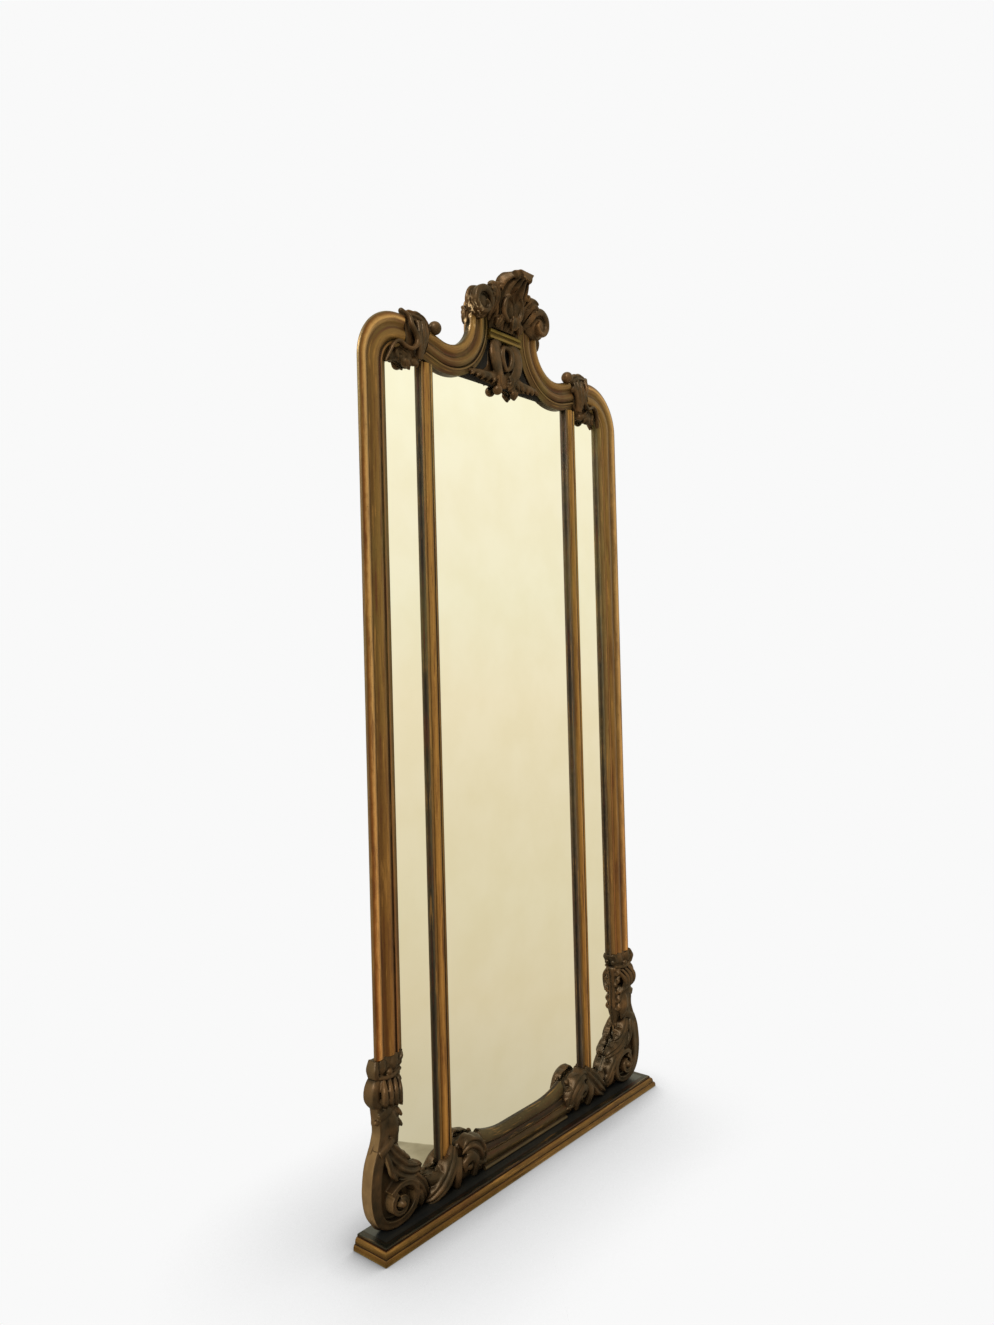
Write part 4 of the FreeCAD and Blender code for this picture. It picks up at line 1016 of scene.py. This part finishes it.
# light and surroundings; a strength of 1 shows paper and room as written
studio = {
    "key": 2.8, "keyAngle": 28, "keyTurn": (52, 0, -66),
    "sky": 0.58,
    "paper": "#F9F9F9",
    "room": [(0.03, "#CAC1A3"), (0.17, "#DACEAC"), (0.29, "#E0D6B3"), (0.42, "#E6DBB8"), (0.56, "#EFE4C2"),
             (0.70, "#F3EDCD"), (0.84, "#F8F1D2"), (0.97, "#FEFADB")],
}
sun = bpy.data.lights.new("keyLight", "SUN")
sun.energy = studio["key"]
sun.angle = math.radians(studio["keyAngle"])
addObject("keyLight", sun).rotation_euler = [math.radians(a) for a in studio["keyTurn"]]


def studioWorld():
    # an even sky lights the object; the camera sees white paper, and the plates a cream room, lighter above
    world = bpy.data.worlds.new("studio")
    world.use_nodes = True
    tree = world.node_tree
    tree.nodes.clear()
    direction = addNode(tree, "TexCoord").outputs["Generated"]
    height = addNode(tree, "SeparateXYZ", {"Vector": direction}).outputs["Z"]
    level = addNode(tree, "MapRange", {"Value": height, "From Min": -0.45, "From Max": 0.30})
    room = addNode(tree, "ValToRGB", {"Fac": level}, studio["room"])
    rays = addNode(tree, "LightPath")
    sky = addNode(tree, "Background", {"Color": "#FFFFFF", "Strength": studio["sky"]})
    paper = addNode(tree, "Background", {"Color": studio["paper"], "Strength": 1.0})
    mirrored = addNode(tree, "Background", {"Color": room, "Strength": 1.0})
    shader = sky
    for ray, seen in (("Is Glossy Ray", mirrored), ("Is Camera Ray", paper), ("Is Transmission Ray", paper)):
        shader = addNode(tree, "MixShader", {0: rays.outputs[ray], 1: shader, 2: seen})
    addNode(tree, "OutputWorld", {"Surface": shader})
    return world


bpy.context.scene.world = studioWorld()

# a patch of worn floor in front of the left plate, in metres: it lies on one side of the paper's ragged
# edge, which runs askew along y = 2.28 x + 0.065, and fades out between each pair of limits
patch = {
    "slope": 2.28, "edge": (0.069, 0.081), "ragged": 0.02, "left": (-1.0, -0.9), "near": (-1.2, -1.1),
    "colours": [(0.35, "#8E8468"), (0.65, "#A89E80")],
}


def wornPatch(tree, place):
    # how much of the worn floor shows at each place, and its colour
    axes = addNode(tree, "SeparateXYZ", {"Vector": place})
    x, y = axes.outputs["X"], axes.outputs["Y"]
    slant = addNode(tree, "Math", {0: x, 1: -patch["slope"], 2: y}, operation="MULTIPLY_ADD")
    ragged = addNode(tree, "TexNoise", {"Vector": place, "Scale": 30.0, "Detail": 4})
    torn = addNode(tree, "Math", {0: ragged, 1: patch["ragged"], 2: slant}, operation="MULTIPLY_ADD")
    shown = 1.0
    for value, (start, end) in ((torn, patch["edge"]), (x, patch["left"]), (y, patch["near"])):
        limit = addNode(tree, "MapRange", {"Value": value, "From Min": start, "From Max": end})
        shown = addNode(tree, "Math", {0: shown, 1: limit}, operation="MULTIPLY")
    boards = addNode(tree, "TexNoise", {"Vector": place, "Scale": 14.0, "Detail": 4})
    return shown, addNode(tree, "ValToRGB", {"Fac": boards}, patch["colours"])


def paperFloor():
    # seamless white paper that keeps the soft shadow; the plates see the worn patch and, through it, the room
    material = bpy.data.materials.new("seamlessPaper")
    material.use_nodes = True
    tree = material.node_tree
    tree.nodes.clear()
    shown, boards = wornPatch(tree, addNode(tree, "TexCoord").outputs["Object"])
    matt = addNode(tree, "BsdfDiffuse", {"Color": studio["paper"]})
    # soft contact shadow: how much of the sky is hidden within 0.12 m, and within 0.45 m to the right
    near = addNode(tree, "AmbientOcclusion", {"Distance": 0.12}, samples=8).outputs["AO"]
    lean = addNode(tree, "CombineXYZ", {"X": 0.6, "Z": 0.8})
    far = addNode(tree, "AmbientOcclusion", {"Distance": 0.45, "Normal": lean}, samples=8).outputs["AO"]
    mean = addNode(tree, "Mix", {0: 0.5, 2: near, 3: far})
    openSky = addNode(tree, "Math", {0: mean, 1: 2.0}, operation="POWER")
    glow = addNode(tree, "Emission", {"Color": studio["paper"], "Strength": openSky})
    worn = addNode(tree, "Emission", {"Color": boards, "Strength": 1.0})
    clear = addNode(tree, "BsdfTransparent")
    reflected = addNode(tree, "MixShader", {0: shown, 1: clear, 2: worn})
    rays = addNode(tree, "LightPath")
    shader = matt
    for ray, seen in (("Is Camera Ray", glow), ("Is Glossy Ray", reflected)):
        shader = addNode(tree, "MixShader", {0: rays.outputs[ray], 1: shader, 2: seen})
    addNode(tree, "OutputMaterial", {"Surface": shader})
    return material


reach = 40.0  # half the floor's width, in metres
corners = [(-reach, -reach, 0), (reach, -reach, 0), (reach, reach, 0), (-reach, reach, 0)]
floorMesh = bpy.data.meshes.new("floor")
floorMesh.from_pydata(corners, [], [(0, 1, 2, 3)])
floorMesh.materials.append(paperFloor())
floor = addObject("floor", floorMesh)

bpy.context.scene.view_settings.view_transform = "Standard"
print("stage ready")
